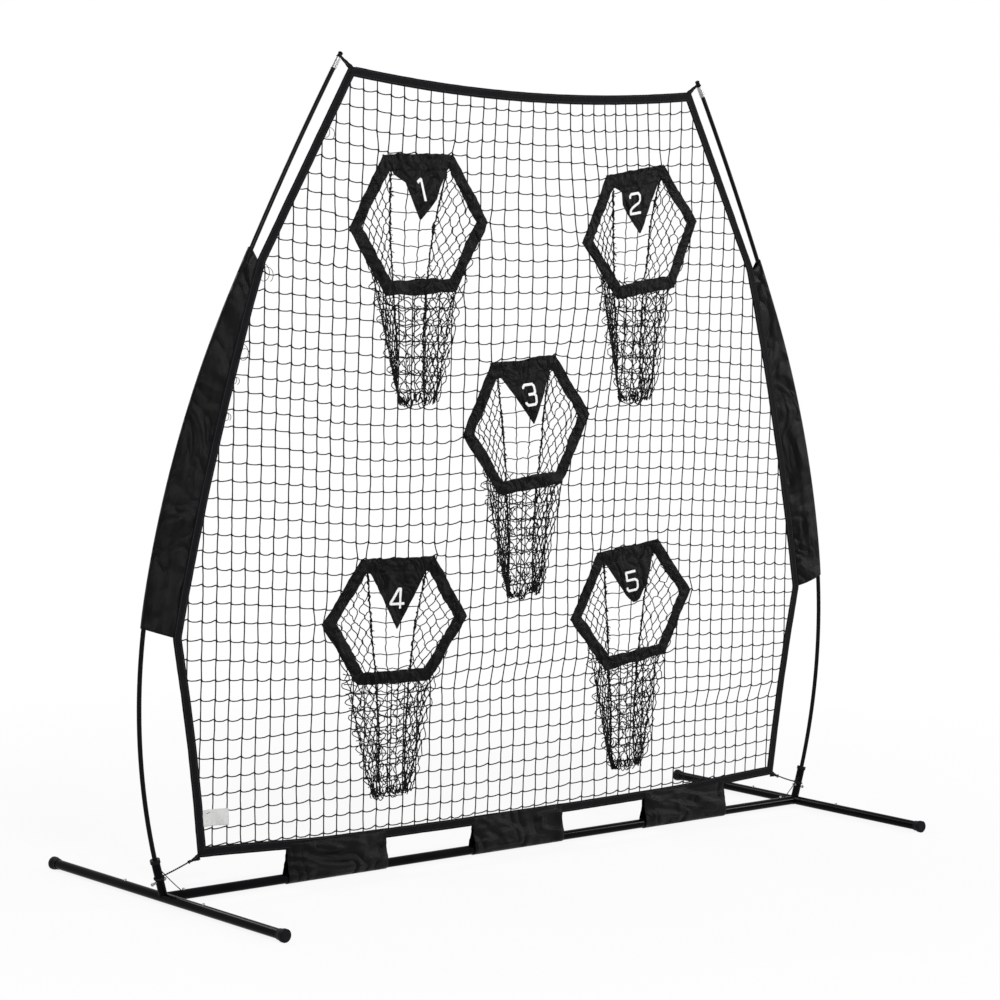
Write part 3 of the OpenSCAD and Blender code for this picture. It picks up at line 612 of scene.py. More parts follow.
def turns_line():
    """Two turns of cord round the socket's tilted axis."""
    line = []
    for i in range(97):
        t = i / 96
        angle = math.pi + 4 * math.pi * t
        line.append(FOOT + SOCKET_AXIS * (TURNS_LOW + TURNS_RISE * t)
                    + TURNS_R * (math.cos(angle) * SOCKET_OUT + math.sin(angle) * BACK))
    return line


TIES = {}
for side in SIDES:
    hand = mirrored if side == "left" else list
    tie_path, tether_path = hand(sagging(TIE)), hand(sagging(TETHER))
    knot = lay_strands("tie_knot_" + side, [hand(knot_line())], KNOT_R, 2)
    turns = lay_strands("tie_turns_" + side, [hand(turns_line())], TIE_R, 2)
    for piece in (knot, turns):
        finish_piece(piece, "tie_cord")
        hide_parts("tie_knots")
    tie_lines = [hand(line) for line in plies(sagging(TIE), TIE_R, 6)]
    tie = finish_piece(lay_strands("tie_" + side, tie_lines, TIE_R, 2), "tie_cord")
    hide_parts("corner_tie_" + side)
    tuple(tie_path[0])
    path_length(tie_path)
    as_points(tie_path)
    tether = finish_piece(lay_strands("thin_tether_" + side, [tether_path], TIE_R, 2), "tie_cord")
    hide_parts("tether_" + side)
    tuple(tether_path[0])
    path_length(tether_path)
    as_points(tether_path)
    TIES[side] = (round(path_length(tie_path), 4), round(path_length(tether_path), 4))
print("tie and tether lengths in metres", TIES)

# %% [markdown]
# ## Measuring the edges
# The net has to end inside its sewn border, and the border and sleeves have to end where the
# CAD solids do. A ray that is shot at a CAD node gives the exact place of its edge.

# %% Measuring the edges with rays
STEP = 0.01
RIGHT_OF_ALL = 1.4


def tree_of(node):
    """The faces of a CAD node, sorted so that a ray finds the one that it meets."""
    mesh = frame["nodes"][node].data
    return BVHTree.FromPolygons([v.co for v in mesh.vertices], [p.vertices for p in mesh.polygons])


def measure(samples, tree, start, direction, key, value):
    """Adds (place along the edge, where the edge is) if the ray meets the node."""
    hit = tree.ray_cast(Vector(start), Vector(direction))[0]
    if hit:
        samples.append((start[key], hit[value]))


def table(samples, value):
    """Reads a list of (position, value) between its samples, and runs on straight past its ends."""
    k = min(max(1, bisect.bisect(samples, (value,))), len(samples) - 1)
    (a, at_a), (b, at_b) = samples[k - 1], samples[k]
    return at_a + (at_b - at_a) * (value - a) / (b - a)


right_tree, sleeve_tree = tree_of("binding_right"), tree_of("side_sleeve_right")
top_tree, low_tree = tree_of("binding_top"), tree_of("binding_bottom")
side_inner, side_outer = [], []
for i in range(12, 209):
    z = i * STEP
    measure(side_inner, right_tree, (0, 0, z), (1, 0, 0), 2, 0)
    measure(side_outer, right_tree, (RIGHT_OF_ALL, 0, z), (-1, 0, 0), 2, 0)
top_inner, top_outer, low_inner, low_outer = [], [], [], []
for i in range(-105, 106, 3):
    x = i * STEP
    measure(low_inner, low_tree, (x, 0, 0.5), (0, 0, -1), 0, 2)
    measure(low_outer, low_tree, (x, 0, 0.05), (0, 0, 1), 0, 2)
    measure(top_inner, top_tree, (x, 0, 1.9), (0, 0, 1), 0, 2)
    measure(top_outer, top_tree, (x, 0, 2.3), (0, 0, -1), 0, 2)
print("net opening at 1 m height", round(2 * table(side_inner, 1.0), 3), "m wide")

# %% [markdown]
# ## The pockets' outlines
# Each pocket is a hexagon that the taut strands turn by a few degrees. Its corners are used
# three times: to end the net's strands, for the cloth frame and for the bag behind it.

# %% The pockets' outlines
POCKETS = [(-0.371, 1.715, 3), (0.440, 1.714, 9), (0.028, 1.179, 6), (-0.422, 0.667, -1),
           (0.446, 0.657, 7)]
# How the taut net has drawn each frame out of shape, across and up.
STRETCH = [(1.01, 1.045), (0.95, 1.0), (0.99, 1.025), (1.05, 0.955), (1.0, 0.97)]
RING_W, RING_H, RING_TOP, BAND = 0.474, 0.350, 0.238, 0.037
LEAN = (RING_W - RING_TOP) / RING_H


def half_sizes(inset):
    """Half the hexagon's width and height, measured from inside its edges."""
    return RING_W / 2 - inset * math.sqrt(1 + LEAN * LEAN), RING_H / 2 - inset


def hexagon(inset):
    """Corners from the top left one, clockwise, about the pocket's middle."""
    w, h = half_sizes(inset)
    t = w - LEAN * h
    return [(-t, h), (t, h), (w, 0), (t, -h), (-t, -h), (-w, 0)]


def in_hexagon(x, z, inset):
    """Whether a point about the pocket's middle lies in its hexagon."""
    w, h = half_sizes(inset)
    return abs(z) < h and abs(x) < w - LEAN * abs(z)


def turned(point, pocket):
    """From a place on the untouched hexagon to its place on the net."""
    x, z, angle = POCKETS[pocket]
    c, s = math.cos(math.radians(angle)), math.sin(math.radians(angle))
    across, up = point[0] * STRETCH[pocket][0], point[1] * STRETCH[pocket][1]
    return x + across * c - up * s, z + across * s + up * c


def unturned(x, z, pocket):
    """The way back from `turned`."""
    px, pz, angle = POCKETS[pocket]
    c, s = math.cos(math.radians(angle)), math.sin(math.radians(angle))
    across, up = (x - px) * c + (z - pz) * s, -(x - px) * s + (z - pz) * c
    return across / STRETCH[pocket][0], up / STRETCH[pocket][1]


CORNERS = [turned(corner, i) for i in range(5) for corner in hexagon(0.0)]

# %% [markdown]
# ## The net
# Knotless netting has a 44.45 mm square mesh. Its columns hang straight, while each row makes a
# small step where it passes a column and droops between them. A strand is a line of points, cut
# off where it enters the border or a pocket's band. Modelling single strands costs more faces
# than a see-through sheet, but their round sections catch light from every side.

# %% How the netting is drawn out of square
MESH = 0.04445
NET_X, NET_Z = 0.012, 0.118
LOW_HALF, LOW_SAG = 1.055, 0.012
TOP_HALF, TOP_RISE = 0.62, 0.035
LIFT_STEP = 0.05
PULL_REACH, PULL = 0.13, 0.013
BULGE, MIDDLE_SHIFT, RIGHT_SHIFT = 0.05, 0.014, 0.013


def row_slope(x, z):
    """How much a row climbs to the right: it follows the border and sags to the left and right."""
    middle = -0.10 * (1 - ease(-0.6, -0.3, x))
    middle -= 0.08 * ease(0.35, 0.75, x) * (1 - ease(1.35, 1.7, z))
    low = 2 * LOW_SAG * x / LOW_HALF ** 2
    top = 2 * TOP_RISE * x / TOP_HALF ** 2
    slope = low + (middle - low) * ease(0.25, 0.75, z)
    return slope + (top - slope) * ease(1.75, 2.05, z)


ROW_LIFT = {}


def row_lift(i, j):
    """The slope summed from the middle to column i of a grid of 5 cm, at its row j."""
    if (i, j) not in ROW_LIFT:
        step = math.copysign(LIFT_STEP, i)
        slopes = (row_slope(step * (k + 0.5), j * LIFT_STEP) for k in range(abs(i)))
        ROW_LIFT[i, j] = sum(slopes) * step
    return ROW_LIFT[i, j]


def smooth_lift(x, z):
    """The lift at any place, between those of the four grid points round it."""
    gx, gz = x / LIFT_STEP, z / LIFT_STEP
    x0, z0 = math.floor(gx), math.floor(gz)
    fx, fz = gx - x0, gz - z0
    return sum(wx * wz * row_lift(x0 + dx, z0 + dz)
               for dx, wx in ((0, 1 - fx), (1, fx)) for dz, wz in ((0, 1 - fz), (1, fz)))


def netting_point(a, b):
    """Where the crossing of column a and row b ends up, both in metres."""
    # The columns bulge to the right between the upper pockets, and two rows shift them sideways.
    bulge = math.exp(-((a - 0.22) / 0.2) ** 2 - ((b - 1.6) / 0.27) ** 2)
    in_middle = (MIDDLE_SHIFT * (ease(0.50, 0.53, b) - 0.5) * ease(-0.3, -0.15, a)
                 * (1 - ease(0.25, 0.4, a)))
    at_right = RIGHT_SHIFT * (ease(0.34, 0.37, b) - 0.5) * ease(0.6, 0.8, a)
    x = a + BULGE * bulge + in_middle + at_right
    x += 0.006 * crumple(a, 0, b, 2.3, 5.0)
    z = b + smooth_lift(x, b) + 0.007 * crumple(a, 0, b, 2.9, 9.0)
    for cx, cz in CORNERS:
        dx, dz = cx - x, cz - z
        d = math.hypot(dx, dz)
        if 1e-6 < d < PULL_REACH:
            pull = PULL * (1 - d / PULL_REACH) ** 2 / d
            x += dx * pull
            z += dz * pull
    return x, z


# %% Where the netting shows
SEWN_IN, RING_SEWN_IN = 0.006, 0.008
BILLOW, LOW_SEAM, TOP_SEAM = 0.005, 0.13, 2.08


def bar_pull(x):
    """How far the tabs pull the lower border down between its corners."""
    return 0.010 * ease(0.0, 0.45, 1.05 - abs(x))


def is_netting(x, z):
    """Whether a point lies between the borders and outside the pockets."""
    if not 0.1 < z < 2.1 or abs(x) > table(side_inner, z) + SEWN_IN:
        return False
    if z < table(low_inner, x) - bar_pull(x) - SEWN_IN:
        return False
    if z > 1.9 and z > table(top_inner, x) + SEWN_IN:
        return False
    return not any(in_hexagon(*unturned(x, z, i), RING_SEWN_IN) for i in range(5))


def billow(x, z):
    """How far the netting stands out of its plane: nothing at the border, a few mm elsewhere."""
    edge = min(table(side_inner, z) - abs(x), z - LOW_SEAM, TOP_SEAM - z)
    return BILLOW * crumple(x, 0, z, 1.8, 2.0) * ease(0.0, 0.2, edge)


def edge_between(inside, outside):
    """The last point on the way from inside to outside that is still netting."""
    for _ in range(6):
        middle = tuple((a + b) / 2 for a, b in zip(inside, outside))
        if is_netting(*middle[:2]):
            inside = middle
        else:
            outside = middle
    return inside


def visible_runs(line):
    """Cuts a line of (x, z, thickness) where it leaves the netting's area."""
    runs, run, last = [], [], None
    for point in line + [None]:
        now = point is not None and is_netting(*point[:2])
        if now and not run and last:
            run.append(edge_between(point, last))
        if now:
            run.append(point)
        elif run:
            if point:
                run.append(edge_between(run[-1], point))
            runs.append([(x, billow(x, z), z, thick) for x, z, thick in run])
            run = []
        last = point
    return [run for run in runs if len(run) > 1]


# %% The columns and the rows, thick at the crossings and thin between them
COLUMNS, ROWS = range(-27, 28), range(-1, 47)
# Shares of the way to the next crossing, each with the strand's thickness there.
COLUMN_SHAPE = ((0.12, 1.0), (0.5, 0.95), (0.88, 1.0))
ROW_SHAPE = ((0.1, 1.05), (0.3, 0.95), (0.62, 0.95), (0.9, 1.05))
CORD_R, COLUMN_KNOT, ROW_KNOT = 0.00165, 1.25, 1.3
dice = random.Random(11)
crossing = {}
for i in COLUMNS:
    for j in ROWS:
        x, z = netting_point(i * MESH + NET_X, NET_Z + j * MESH)
        crossing[i, j] = (x + dice.uniform(-0.0012, 0.0012), z + dice.uniform(-0.002, 0.002))

column_lines, row_lines = [], []
for i in COLUMNS:
    line = []
    for j in ROWS[:-1]:
        (x0, z0), (x1, z1) = crossing[i, j], crossing[i, j + 1]
        bend = dice.uniform(-0.0012, 0.0012)
        line.append((x0, z0, COLUMN_KNOT))
        for t, thick in COLUMN_SHAPE:
            x = x0 + (x1 - x0) * t + bend * math.sin(math.pi * t)
            line.append((x, z0 + (z1 - z0) * t, thick))
    column_lines += visible_runs(line)
for j in ROWS:
    line = []
    for i in COLUMNS[:-1]:
        (x0, z0), (x1, z1) = crossing[i, j], crossing[i + 1, j]
        droop = 0.0035 + 0.004 * crumple(x0, 0, z0, 7.0, 4.0) + dice.uniform(-0.001, 0.001)
        step = 0.0022 + 0.0016 * crumple(x0, 0, z0, 5.0, 8.0)
        line.append((x0, z0, ROW_KNOT))
        for t, thick in ROW_SHAPE:
            bow = -droop * math.sin(math.pi * t) + step * (2 * t - 1)
            line.append((x0 + (x1 - x0) * t, z0 + (z1 - z0) * t + bow, thick))
    row_lines += visible_runs(line)

net_columns = finish_piece(lay_strands("net_columns", column_lines, CORD_R), "net_cord")
net_rows = finish_piece(lay_strands("net_rows", row_lines, CORD_R), "net_cord")
for piece in (net_columns, net_rows):
    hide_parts("net_panel")
print("net strands", len(column_lines), "columns,", len(row_lines), "rows,",
      len(net_columns.data.polygons) + len(net_rows.data.polygons), "faces")

# %% Loose loops of thread at the left-hand border
# Height above the floor, size and tilt of each loop.
LOOPS = [(1.58, 0.026, 0.3), (1.38, 0.022, -0.2), (1.94, 0.018, 0.9), (1.31, 0.012, 0.5),
         (1.22, 0.013, 0.2)]
THREAD_R = 0.0008
loops = []
for z0, size, tilt in LOOPS:
    start = -table(side_inner, z0)
    line = []
    for k in range(33):
        t = k / 32
        angle = tilt + 2.6 * math.pi * t
        swell = size * (0.35 + 0.65 * math.sin(math.pi * t))
        line.append((start - 0.004 + size * 0.8 * t + swell * (math.sin(angle) + 0.3),
                     -0.003 + 0.003 * math.sin(7 * t),
                     z0 + size * 1.2 * (0.5 - t) + swell * math.cos(angle)))
    loops.append(line)
finish_piece(lay_strands("net_loose_loops", loops, THREAD_R), "net_cord")
print("loose loops", len(loops))

# %% [markdown]
# ## The border
# The net's edge is folded into 25 mm webbing that is sewn down with two rows. It is laid as a
# long narrow cloth between the edges that the rays found, with small puckers from the thread.

# %% The border
WEBBING_W, WEBBING_THICK = 0.025, 0.0026
# SIDE_TALL is the height of a side strip, and SIDE_LONG is what its stitches are spaced on.
SIDE_LOW, SIDE_TALL, SIDE_LONG = 0.112, 2.0, 1.99
TOP_X, LOW_X = 0.6205, 1.054


def border_strip(name, node, outer, inner, length, columns, offset=-1.0):
    """outer(u) and inner(u) give (x, z) along the strip's two edges."""
    def place(u, v):
        (x0, z0), (x1, z1) = outer(u), inner(u)
        pucker = 0.0005 * crumple(x0, 0, z0, 45.0, 6.0 + v) + 0.0008 * crumple(x0, 0, z0, 11.0, 1.0)
        edge = 0.0007 * crumple(x0, 0, z0, 30.0, 2.0 if v < 0.5 else 7.0) * abs(2 * v - 1)
        share = v + edge * 20
        full = 0.0011 * (1 - abs(2 * v - 1) ** 6)
        return Vector((x0 + (x1 - x0) * share, -0.0004 - full + pucker, z0 + (z1 - z0) * share))
    strip = lay_cloth(name, place, (length, WEBBING_W), columns, 8, WEBBING_THICK, offset)
    finish_piece(strip, "webbing")
    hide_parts(node)


def side_edge(samples, sign):
    """The left or right edge, from the floor up."""
    return lambda u: (sign * table(samples, SIDE_LOW + u * SIDE_TALL), SIDE_LOW + u * SIDE_TALL)


def level_edge(samples, half, pull=lambda x: 0.0):
    """The top or lower edge, from left to right."""
    def edge(u):
        x = -half + 2 * half * u
        return x, table(samples, x) - pull(x)
    return edge


for side, sign in SIDES.items():
    border_strip("border_" + side, "binding_" + side, side_edge(side_outer, sign),
                 side_edge(side_inner, sign), SIDE_LONG, 260, offset=sign)
border_strip("border_top", "binding_top", level_edge(top_outer, TOP_X),
             level_edge(top_inner, TOP_X), 2 * TOP_X, 170)
border_strip("border_bottom", "binding_bottom", level_edge(low_inner, LOW_X, bar_pull),
             level_edge(low_outer, LOW_X, bar_pull), 2 * LOW_X, 280)
print("border", round(2 * (SIDE_LONG + TOP_X + LOW_X), 2), "m of webbing")

# %% [markdown]
# ## The side sleeves
# A sleeve is one piece of coated cloth that goes round the pole and is sewn to the border in
# front and behind. Its section is a drop: round at the pole, flat at the seam. Long folds run
# along it, and short ones fan out at its lower end where the pole pulls it tight.

# %% The side sleeves
POLE_OUT, SEAM_IN = 0.0093, 0.003
SLEEVE_LOW, SLEEVE_TALL, SEAM_DROP = 0.6985, 0.9405, 0.028
SLEEVE_R, SLEEVE_THICK = 0.0088, 0.0008
SEAM_Y = 0.0021
# Shares of the way round the drop: each flat side, and the turn round the pole between them.
FLAT, TURN = 0.42, 0.16
sleeve_pole = []
for i in range(96):
    measure(sleeve_pole, sleeve_tree, (RIGHT_OF_ALL, 0, 0.698 + i * 0.0099), (-1, 0, 0), 2, 0)


def sleeve(side, sign, seed):
    def place(u, v):
        z = SLEEVE_LOW + u * SLEEVE_TALL
        far = Vector((table(sleeve_pole, z) - POLE_OUT, 0, z))
        near = Vector((table(side_outer, z - SEAM_DROP) - SEAM_IN, 0, z - SEAM_DROP))
        web = (far - near).length
        along = (far - near).normalized()
        front = v < 0.5
        if FLAT < v < 1 - FLAT:
            angle = math.pi * (v - FLAT) / TURN
            d, y = web + SLEEVE_R * math.sin(angle), -SLEEVE_R * math.cos(angle)
        else:
            t = v / FLAT if front else (1 - v) / FLAT
            d, y = web * t, (SEAM_Y + (SLEEVE_R - SEAM_Y) * t ** 1.4) * (-1 if front else 1)
        # Slack is largest half-way between the pole and the seam.
        share = math.sin(math.pi * min(1.0, d / web)) ** 0.7 if d < web else 0.0
        long = 0.5 + 0.5 * noise.noise(Vector((d * 55 + seed, z * 2.2, (0 if front else 9) + seed)))
        low = math.exp(-((z - 0.76) / 0.13) ** 2)
        fan = noise.noise(Vector((d * 22 + z * 30 + seed, z * 14, 3.0 if front else 6.0)))
        fan = 0.5 + 0.5 * fan
        high = math.exp(-((z - 1.6) / 0.09) ** 2)
        crease = max(0.0, 1 - abs(d / web - 0.60 - 0.25 * (z - 1.0)) / 0.06) * ease(1.15, 0.95, z)
        slack = share * web * (0.045 * long + 0.030 * crease + 0.11 * fan * low + 0.07 * fan * high)
        point = near + along * d
        return Vector((point.x * sign, y + slack * (-1 if front else 1), point.z))
    cloth = lay_cloth("sleeve_" + side, place, (0.97, 0.22), 190, 38, SLEEVE_THICK, flip=sign > 0)
    finish_piece(cloth, "satin_cloth", material=SLEEVE_CLOTH)
    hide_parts("side_sleeve_" + side)
    return cloth


def cloth_area(piece):
    """Half of a thin closed cloth's surface, in square metres."""
    return sum(face.area for face in piece.data.polygons) / 2


for side, seed in (("left", 1.7), ("right", 5.3)):
    cloth = sleeve(side, SIDES[side], seed)
    print(cloth.name, "cloth", round(cloth_area(cloth), 4), "square metres")

# %% [markdown]
# ## The tabs that hold the crossbar
# Three wide loops of the same cloth go round the crossbar and are sewn to the lower border.
# They hang a little loose, so they crease across their width.

# %% The crossbar tabs
BAR_Z, TAB_TOP = 0.0166, 0.1085
TAB_W, TAB_R, TAB_SEAM_Y, TAB_THICK = 0.33, 0.0138, 0.0024, 0.0009
TAB_FLAT, TAB_TURN = 0.4, 0.2
TABS = [("left", -0.608, 2.0), ("middle", 0.030, 6.0), ("right", 0.682, 11.0)]


def tab_section(v):
    """(y, z, how loose) round a loop: down the front, round the bar, up the back."""
    if v < TAB_FLAT:
        t = v / TAB_FLAT
        y = TAB_SEAM_Y + (TAB_R - TAB_SEAM_Y) * ease(0.35, 1.0, t)
        return -y, TAB_TOP + (BAR_Z - TAB_TOP) * t, math.sin(math.pi * t) ** 0.6
    if v > 1 - TAB_FLAT:
        y, z, loose = tab_section(1 - v)
        return -y, z, loose
    angle = math.pi * (v - TAB_FLAT) / TAB_TURN
    return -TAB_R * math.cos(angle), BAR_Z - TAB_R * math.sin(angle), 0.0


def tab(name, middle, seed):
    def place(u, v):
        y, z, loose = tab_section(v)
        x = middle - TAB_W / 2 + TAB_W * u
        end = abs(2 * u - 1) ** 8
        across = 0.5 + 0.5 * noise.noise(Vector((x * 7 + seed, z * 34, seed if v < 0.5 else -seed)))
        fine = 0.5 + 0.5 * noise.noise(Vector((x * 30 + z * 26 + seed, z * 34, 4 * seed)))
        ridge = 1 - abs(3.2 * noise.noise(Vector((x * 8 + z * 15 + seed, z * 27, 2 * seed))))
        slack = loose * (0.0046 * across + 0.0010 * fine + 0.0070 * max(0.0, ridge))
        slack *= 1 - 0.7 * end
        x += 0.0012 * crumple(0, 0, z, 14.0, seed + round(u)) * end
        return Vector((x, y + slack * (-1 if v < 0.5 else 1), z))
    cloth = lay_cloth("tab_" + name, place, (TAB_W, 0.24), 90, 64, TAB_THICK)
    finish_piece(cloth, "satin_cloth", material=TAB_CLOTH)
    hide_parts("bar_tab_" + name)
    print(cloth.name, "cloth", round(cloth_area(cloth), 4), "square metres")


for name, middle, seed in TABS:
    tab(name, middle, seed)

# %% [markdown]
# ## The pocket frames
# A frame is six bands of doubled cloth with mitred corners that overlap. Each band is a flat
# tube, so that its edges are round folds, and its face is puckered by the seams.

# %% The pocket frames
BAND_R, OVERLAP, CORNER_LONG = 0.0014, 0.012, 0.011


def band(pocket, side):
    """One of the six bands. The top one, side 0, carries the flap and puffs out more."""
    is_top = side == 0
    outer, inner = hexagon(0.0), hexagon(BAND + (0.004 if is_top else 0.0))
    near, far = side, (side + 1) % 6
    length = math.hypot(outer[far][0] - outer[near][0], outer[far][1] - outer[near][1])
    lift = -0.0004 if side % 2 else 0.0003
    fold_height = 0.0026 * (1.55 if is_top else 1.0)
    wobble, calm = (0.05, 0.75) if is_top else (0.13, 0.0)

    def place(u, v):
        angle = 2 * math.pi * v
        across = 0.5 - 0.5 * math.cos(angle)
        s = -OVERLAP + (1 + 2 * OVERLAP) * u
        a, b = ([ring[near][k] + (ring[far][k] - ring[near][k]) * s for k in (0, 1)]
                for ring in (outer, inner))

        def at(share):
            return turned([a[k] + (b[k] - a[k]) * share for k in (0, 1)], pocket)

        share = OVERLAP + (1 - 2 * OVERLAP) * across
        x, z = at(share)
        rim = crumple(x, 0, z, 17.0, pocket + 0.5) + 0.5 * crumple(x, 0, z, 55.0, pocket + 3.5)
        inside = crumple(x, 0, z, 20.0, pocket + 8.5) + 0.6 * crumple(x, 0, z, 60.0, pocket + 5.5)
        corner = sum(math.exp(-max(0.0, way) * length / CORNER_LONG) for way in (s, 1 - s))
        share += (0.11 * rim - 0.03 + 0.02 * corner) * (1 - across) ** 2
        share -= wobble * inside * across ** 2
        x, z = at(share)
        fold = 1 - abs(2.6 * crumple(x, 0, z, 36.0, pocket + 1.5))
        fold += 0.6 * crumple(x, 0, z, 85.0, pocket + 7.5)
        puff = fold_height * max(0.0, fold) * math.sin(math.pi * across) ** 0.6
        puff *= 1 - calm * across
        y = -fuller(math.sin(angle), 0.5) * BAND_R + lift
        y -= puff * (1 if math.sin(angle) > 0 else -0.6)
        return Vector((x, y, z))
    return lay_cloth("band_%d" % side, place, (length, 2 * BAND), 72, 32, weld=True)


for pocket in range(5):
    bands = [band(pocket, side) for side in range(6)]
    ring = join_pieces(bands, "pocket_frame_cloth_%d" % (pocket + 1))
    finish_piece(ring, "satin_cloth")
    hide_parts("pocket_frame_%d" % (pocket + 1))
    print(ring.name, "cloth", round(cloth_area(ring), 4), "square metres")

# %% [markdown]
# ## The flaps and their numbers
# A flap is a triangle of cloth that hangs from its frame's upper band and swings back when a
# ball comes in. The first one is crumpled, the second has a folded corner and the fifth a blunt
# tip, as used nets show. The numbers are flat printed strokes that follow the cloth.

# %% How each flap hangs
FLAG_W, FLAG_H, HINGE = 0.172, 0.152, 0.1375
WIDEST, FLAP_THICK, TIP_SHARE, TUCKED_IN = 0.186, 0.0007, 0.985, 0.002
# Length and sideways drift of the tip, and the drop and shift of the number's middle, in mm.
FLAPS = [(129, -4, 54, 3), (144, -9, 57, -19), (142, 21, 60, 9), (164, 0, 78, -3), (135, 8, 69, -1)]
# The left and right edges, in mm, of the flaps that are no plain triangle.
FOLDS = {0: ([(0.0, -93), (0.1, -88), (0.26, -50), (0.47, -38), (0.72, -22), (1.0, -1)],
             [(0.0, 93), (0.1, 91), (0.25, 79), (0.38, 67), (0.6, 54), (0.8, 30), (1.0, 1)]),
         1: ([(0.0, -93), (0.05, -86), (0.13, -67), (0.38, -66), (0.6, -46), (1.0, -1)],
             [(0.0, 93), (0.39, 54), (0.8, 20), (1.0, 1)]),
         4: ([(0.0, -94), (0.5, -57), (0.8, -32), (1.0, -4)],
             [(0.0, 94), (0.3, 75), (0.45, 64), (0.58, 55), (0.8, 34), (0.94, 22), (1.0, 2)])}


def flap_edges(pocket, t):
    """How far the flap reaches to the left and right at share t of its length."""
    if pocket in FOLDS:
        left, right = FOLDS[pocket]
        return table(left, t) * MM, table(right, t) * MM
    half = WIDEST / 2 * (1 - t)
    return -half, half


def flap_point(pocket, fx, down, out=0.0):
    """A point of a flap: fx across from its middle, down from its hinge, in metres."""
    seed = 3.7 * pocket
    long, drift = FLAPS[pocket][0] * MM, FLAPS[pocket][1] * MM
    t = down / long
    free = ease(0.0, 0.12, t)
    wave = noise.noise(Vector((fx * 24 + seed, down * 19, seed)))
    fine = noise.noise(Vector((fx * 62 + down * 40 + seed, down * 30, 2 * seed)))
    pleat = math.sin(fx * 150 + 1.4 * seed + 3 * wave) * (1 - ease(0.0, 0.3, t))
    y = -0.0004 - 0.0028 * ease(0.004, 0.010, down)
    y -= 0.004 * math.sin(math.pi * t) * (0.5 + 0.5 * math.sin(seed))
    y -= free * (0.0042 * abs(wave) + 0.0012 * abs(fine) + 0.0008 * (1 + pleat))
    if pocket == 0:
        ridge = 1 - abs(2.2 * noise.noise(Vector((fx * 16 + down * 24, down * 22 - fx * 9, 4.0))))
        y -= 0.011 * free * max(0.0, ridge) * (1 - ease(0.15, 0.62, t)) + 0.003 * free
    if pocket == 1:
        ridge = 1 - abs(fx + 0.052 - 0.3 * down) / 0.016
        y -= 0.009 * free * max(0.0, ridge) ** 0.7 * (1 - ease(0.2, 0.6, t))
    # Near its hinge it stays so close that it can swing up without touching the band.
    y = max(y, -0.0026 - 0.10 * down)
    px, pz = turned((fx + drift * t, HINGE + TUCKED_IN - down), pocket)
    return Vector((px, y - out, pz))


def flap(pocket):
    """A triangle of cloth with slightly ragged edges."""
    def place(u, v):
        t = TIP_SHARE * v
        left, right = flap_edges(pocket, t)
        ragged = 0.0012 * crumple(0, 0, t, 9.0, pocket + round(u)) * abs(2 * u - 1) ** 4 * (1 - t)
        return flap_point(pocket, left + (right - left) * u + ragged, FLAPS[pocket][0] * MM * t)
    cloth = lay_cloth("flap_%d" % (pocket + 1), place, (FLAG_W, FLAG_H), 72, 64, FLAP_THICK,
                      offset=0.0)
    finish_piece(cloth, "flag_cloth", "flag_%d" % (pocket + 1))
    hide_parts("flag_%d" % (pocket + 1))
    return cloth


# %% The numbers' strokes, in metres about each number's middle
NUMBERS = {1: [[(-0.010, 0.020), (0.002, 0.0275), (0.004, 0.0275), (0.004, -0.0275)]],
           2: [[(-0.020, 0.016), (-0.020, 0.022), (-0.014, 0.0275), (0.014, 0.0275), (0.020, 0.021),
                (0.020, 0.008), (0.015, 0.001), (-0.014, -0.010), (-0.020, -0.016),
                (-0.020, -0.0275), (0.022, -0.0275)]],
           3: [[(-0.020, 0.018), (-0.020, 0.022), (-0.014, 0.0275), (0.014, 0.0275), (0.020, 0.022),
                (0.020, 0.006), (0.014, 0.001), (-0.006, 0.001)],
               [(0.014, 0.001), (0.020, -0.004), (0.020, -0.022), (0.014, -0.0275),
                (-0.014, -0.0275), (-0.020, -0.022), (-0.020, -0.018)]],
           4: [[(0.010, -0.0275), (0.010, 0.0275), (0.004, 0.0275), (-0.021, -0.010),
                (-0.021, -0.014), (0.023, -0.014)]],
           5: [[(0.019, 0.0275), (-0.018, 0.0275), (-0.018, 0.004), (0.012, 0.004),
                (0.020, -0.002), (0.020, -0.021), (0.014, -0.0275), (-0.014, -0.0275),
                (-0.020, -0.022), (-0.020, -0.016)]]}
STROKE, STROKE_GAP = 0.0078, 0.0013
PRINT_OUT, PRINT_IN, PRINT_FLAT = 0.0009, 0.0002, 0.03


def dense(line):
    """The stroke with more points, so that it can follow the folds of the cloth."""
    points = []
    for (x0, z0), (x1, z1) in zip(line, line[1:]):
        count = max(1, round(math.hypot(x1 - x0, z1 - z0) / STROKE_GAP))
        points += [(x0 + (x1 - x0) * k / count, 0.0, z0 + (z1 - z0) * k / count)
                   for k in range(count)]
    return points + [(line[-1][0], 0.0, line[-1][1])]


def number(pocket):
    """Round strokes, pressed nearly flat onto the flap's front."""
    long, drift, drop, shift = (value * MM for value in FLAPS[pocket])
    tilt = 0.22 if pocket == 0 else 0.0
    strokes = [dense(stroke) for stroke in NUMBERS[pocket + 1]]
    sign = lay_strands("number_%d" % (pocket + 1), strokes, STROKE / 2, 3)
    for point in sign.data.vertices:
        fx, fz, up = point.co.x, point.co.z, point.co.y
        across = fx - fz * math.sin(tilt) + shift - drift * drop / long
        where = flap_point(pocket, across, drop - fz, PRINT_OUT if up < 0 else PRINT_IN)
        point.co = where + Vector((0, up * PRINT_FLAT, 0))
    return finish_piece(sign, "flag_cloth", "flag_%d" % (pocket + 1), NUMBER_PRINT)


for pocket in range(5):
    cloth, sign = flap(pocket), number(pocket)
    print(cloth.name, "cloth", round(cloth_area(cloth), 5), "square metres")

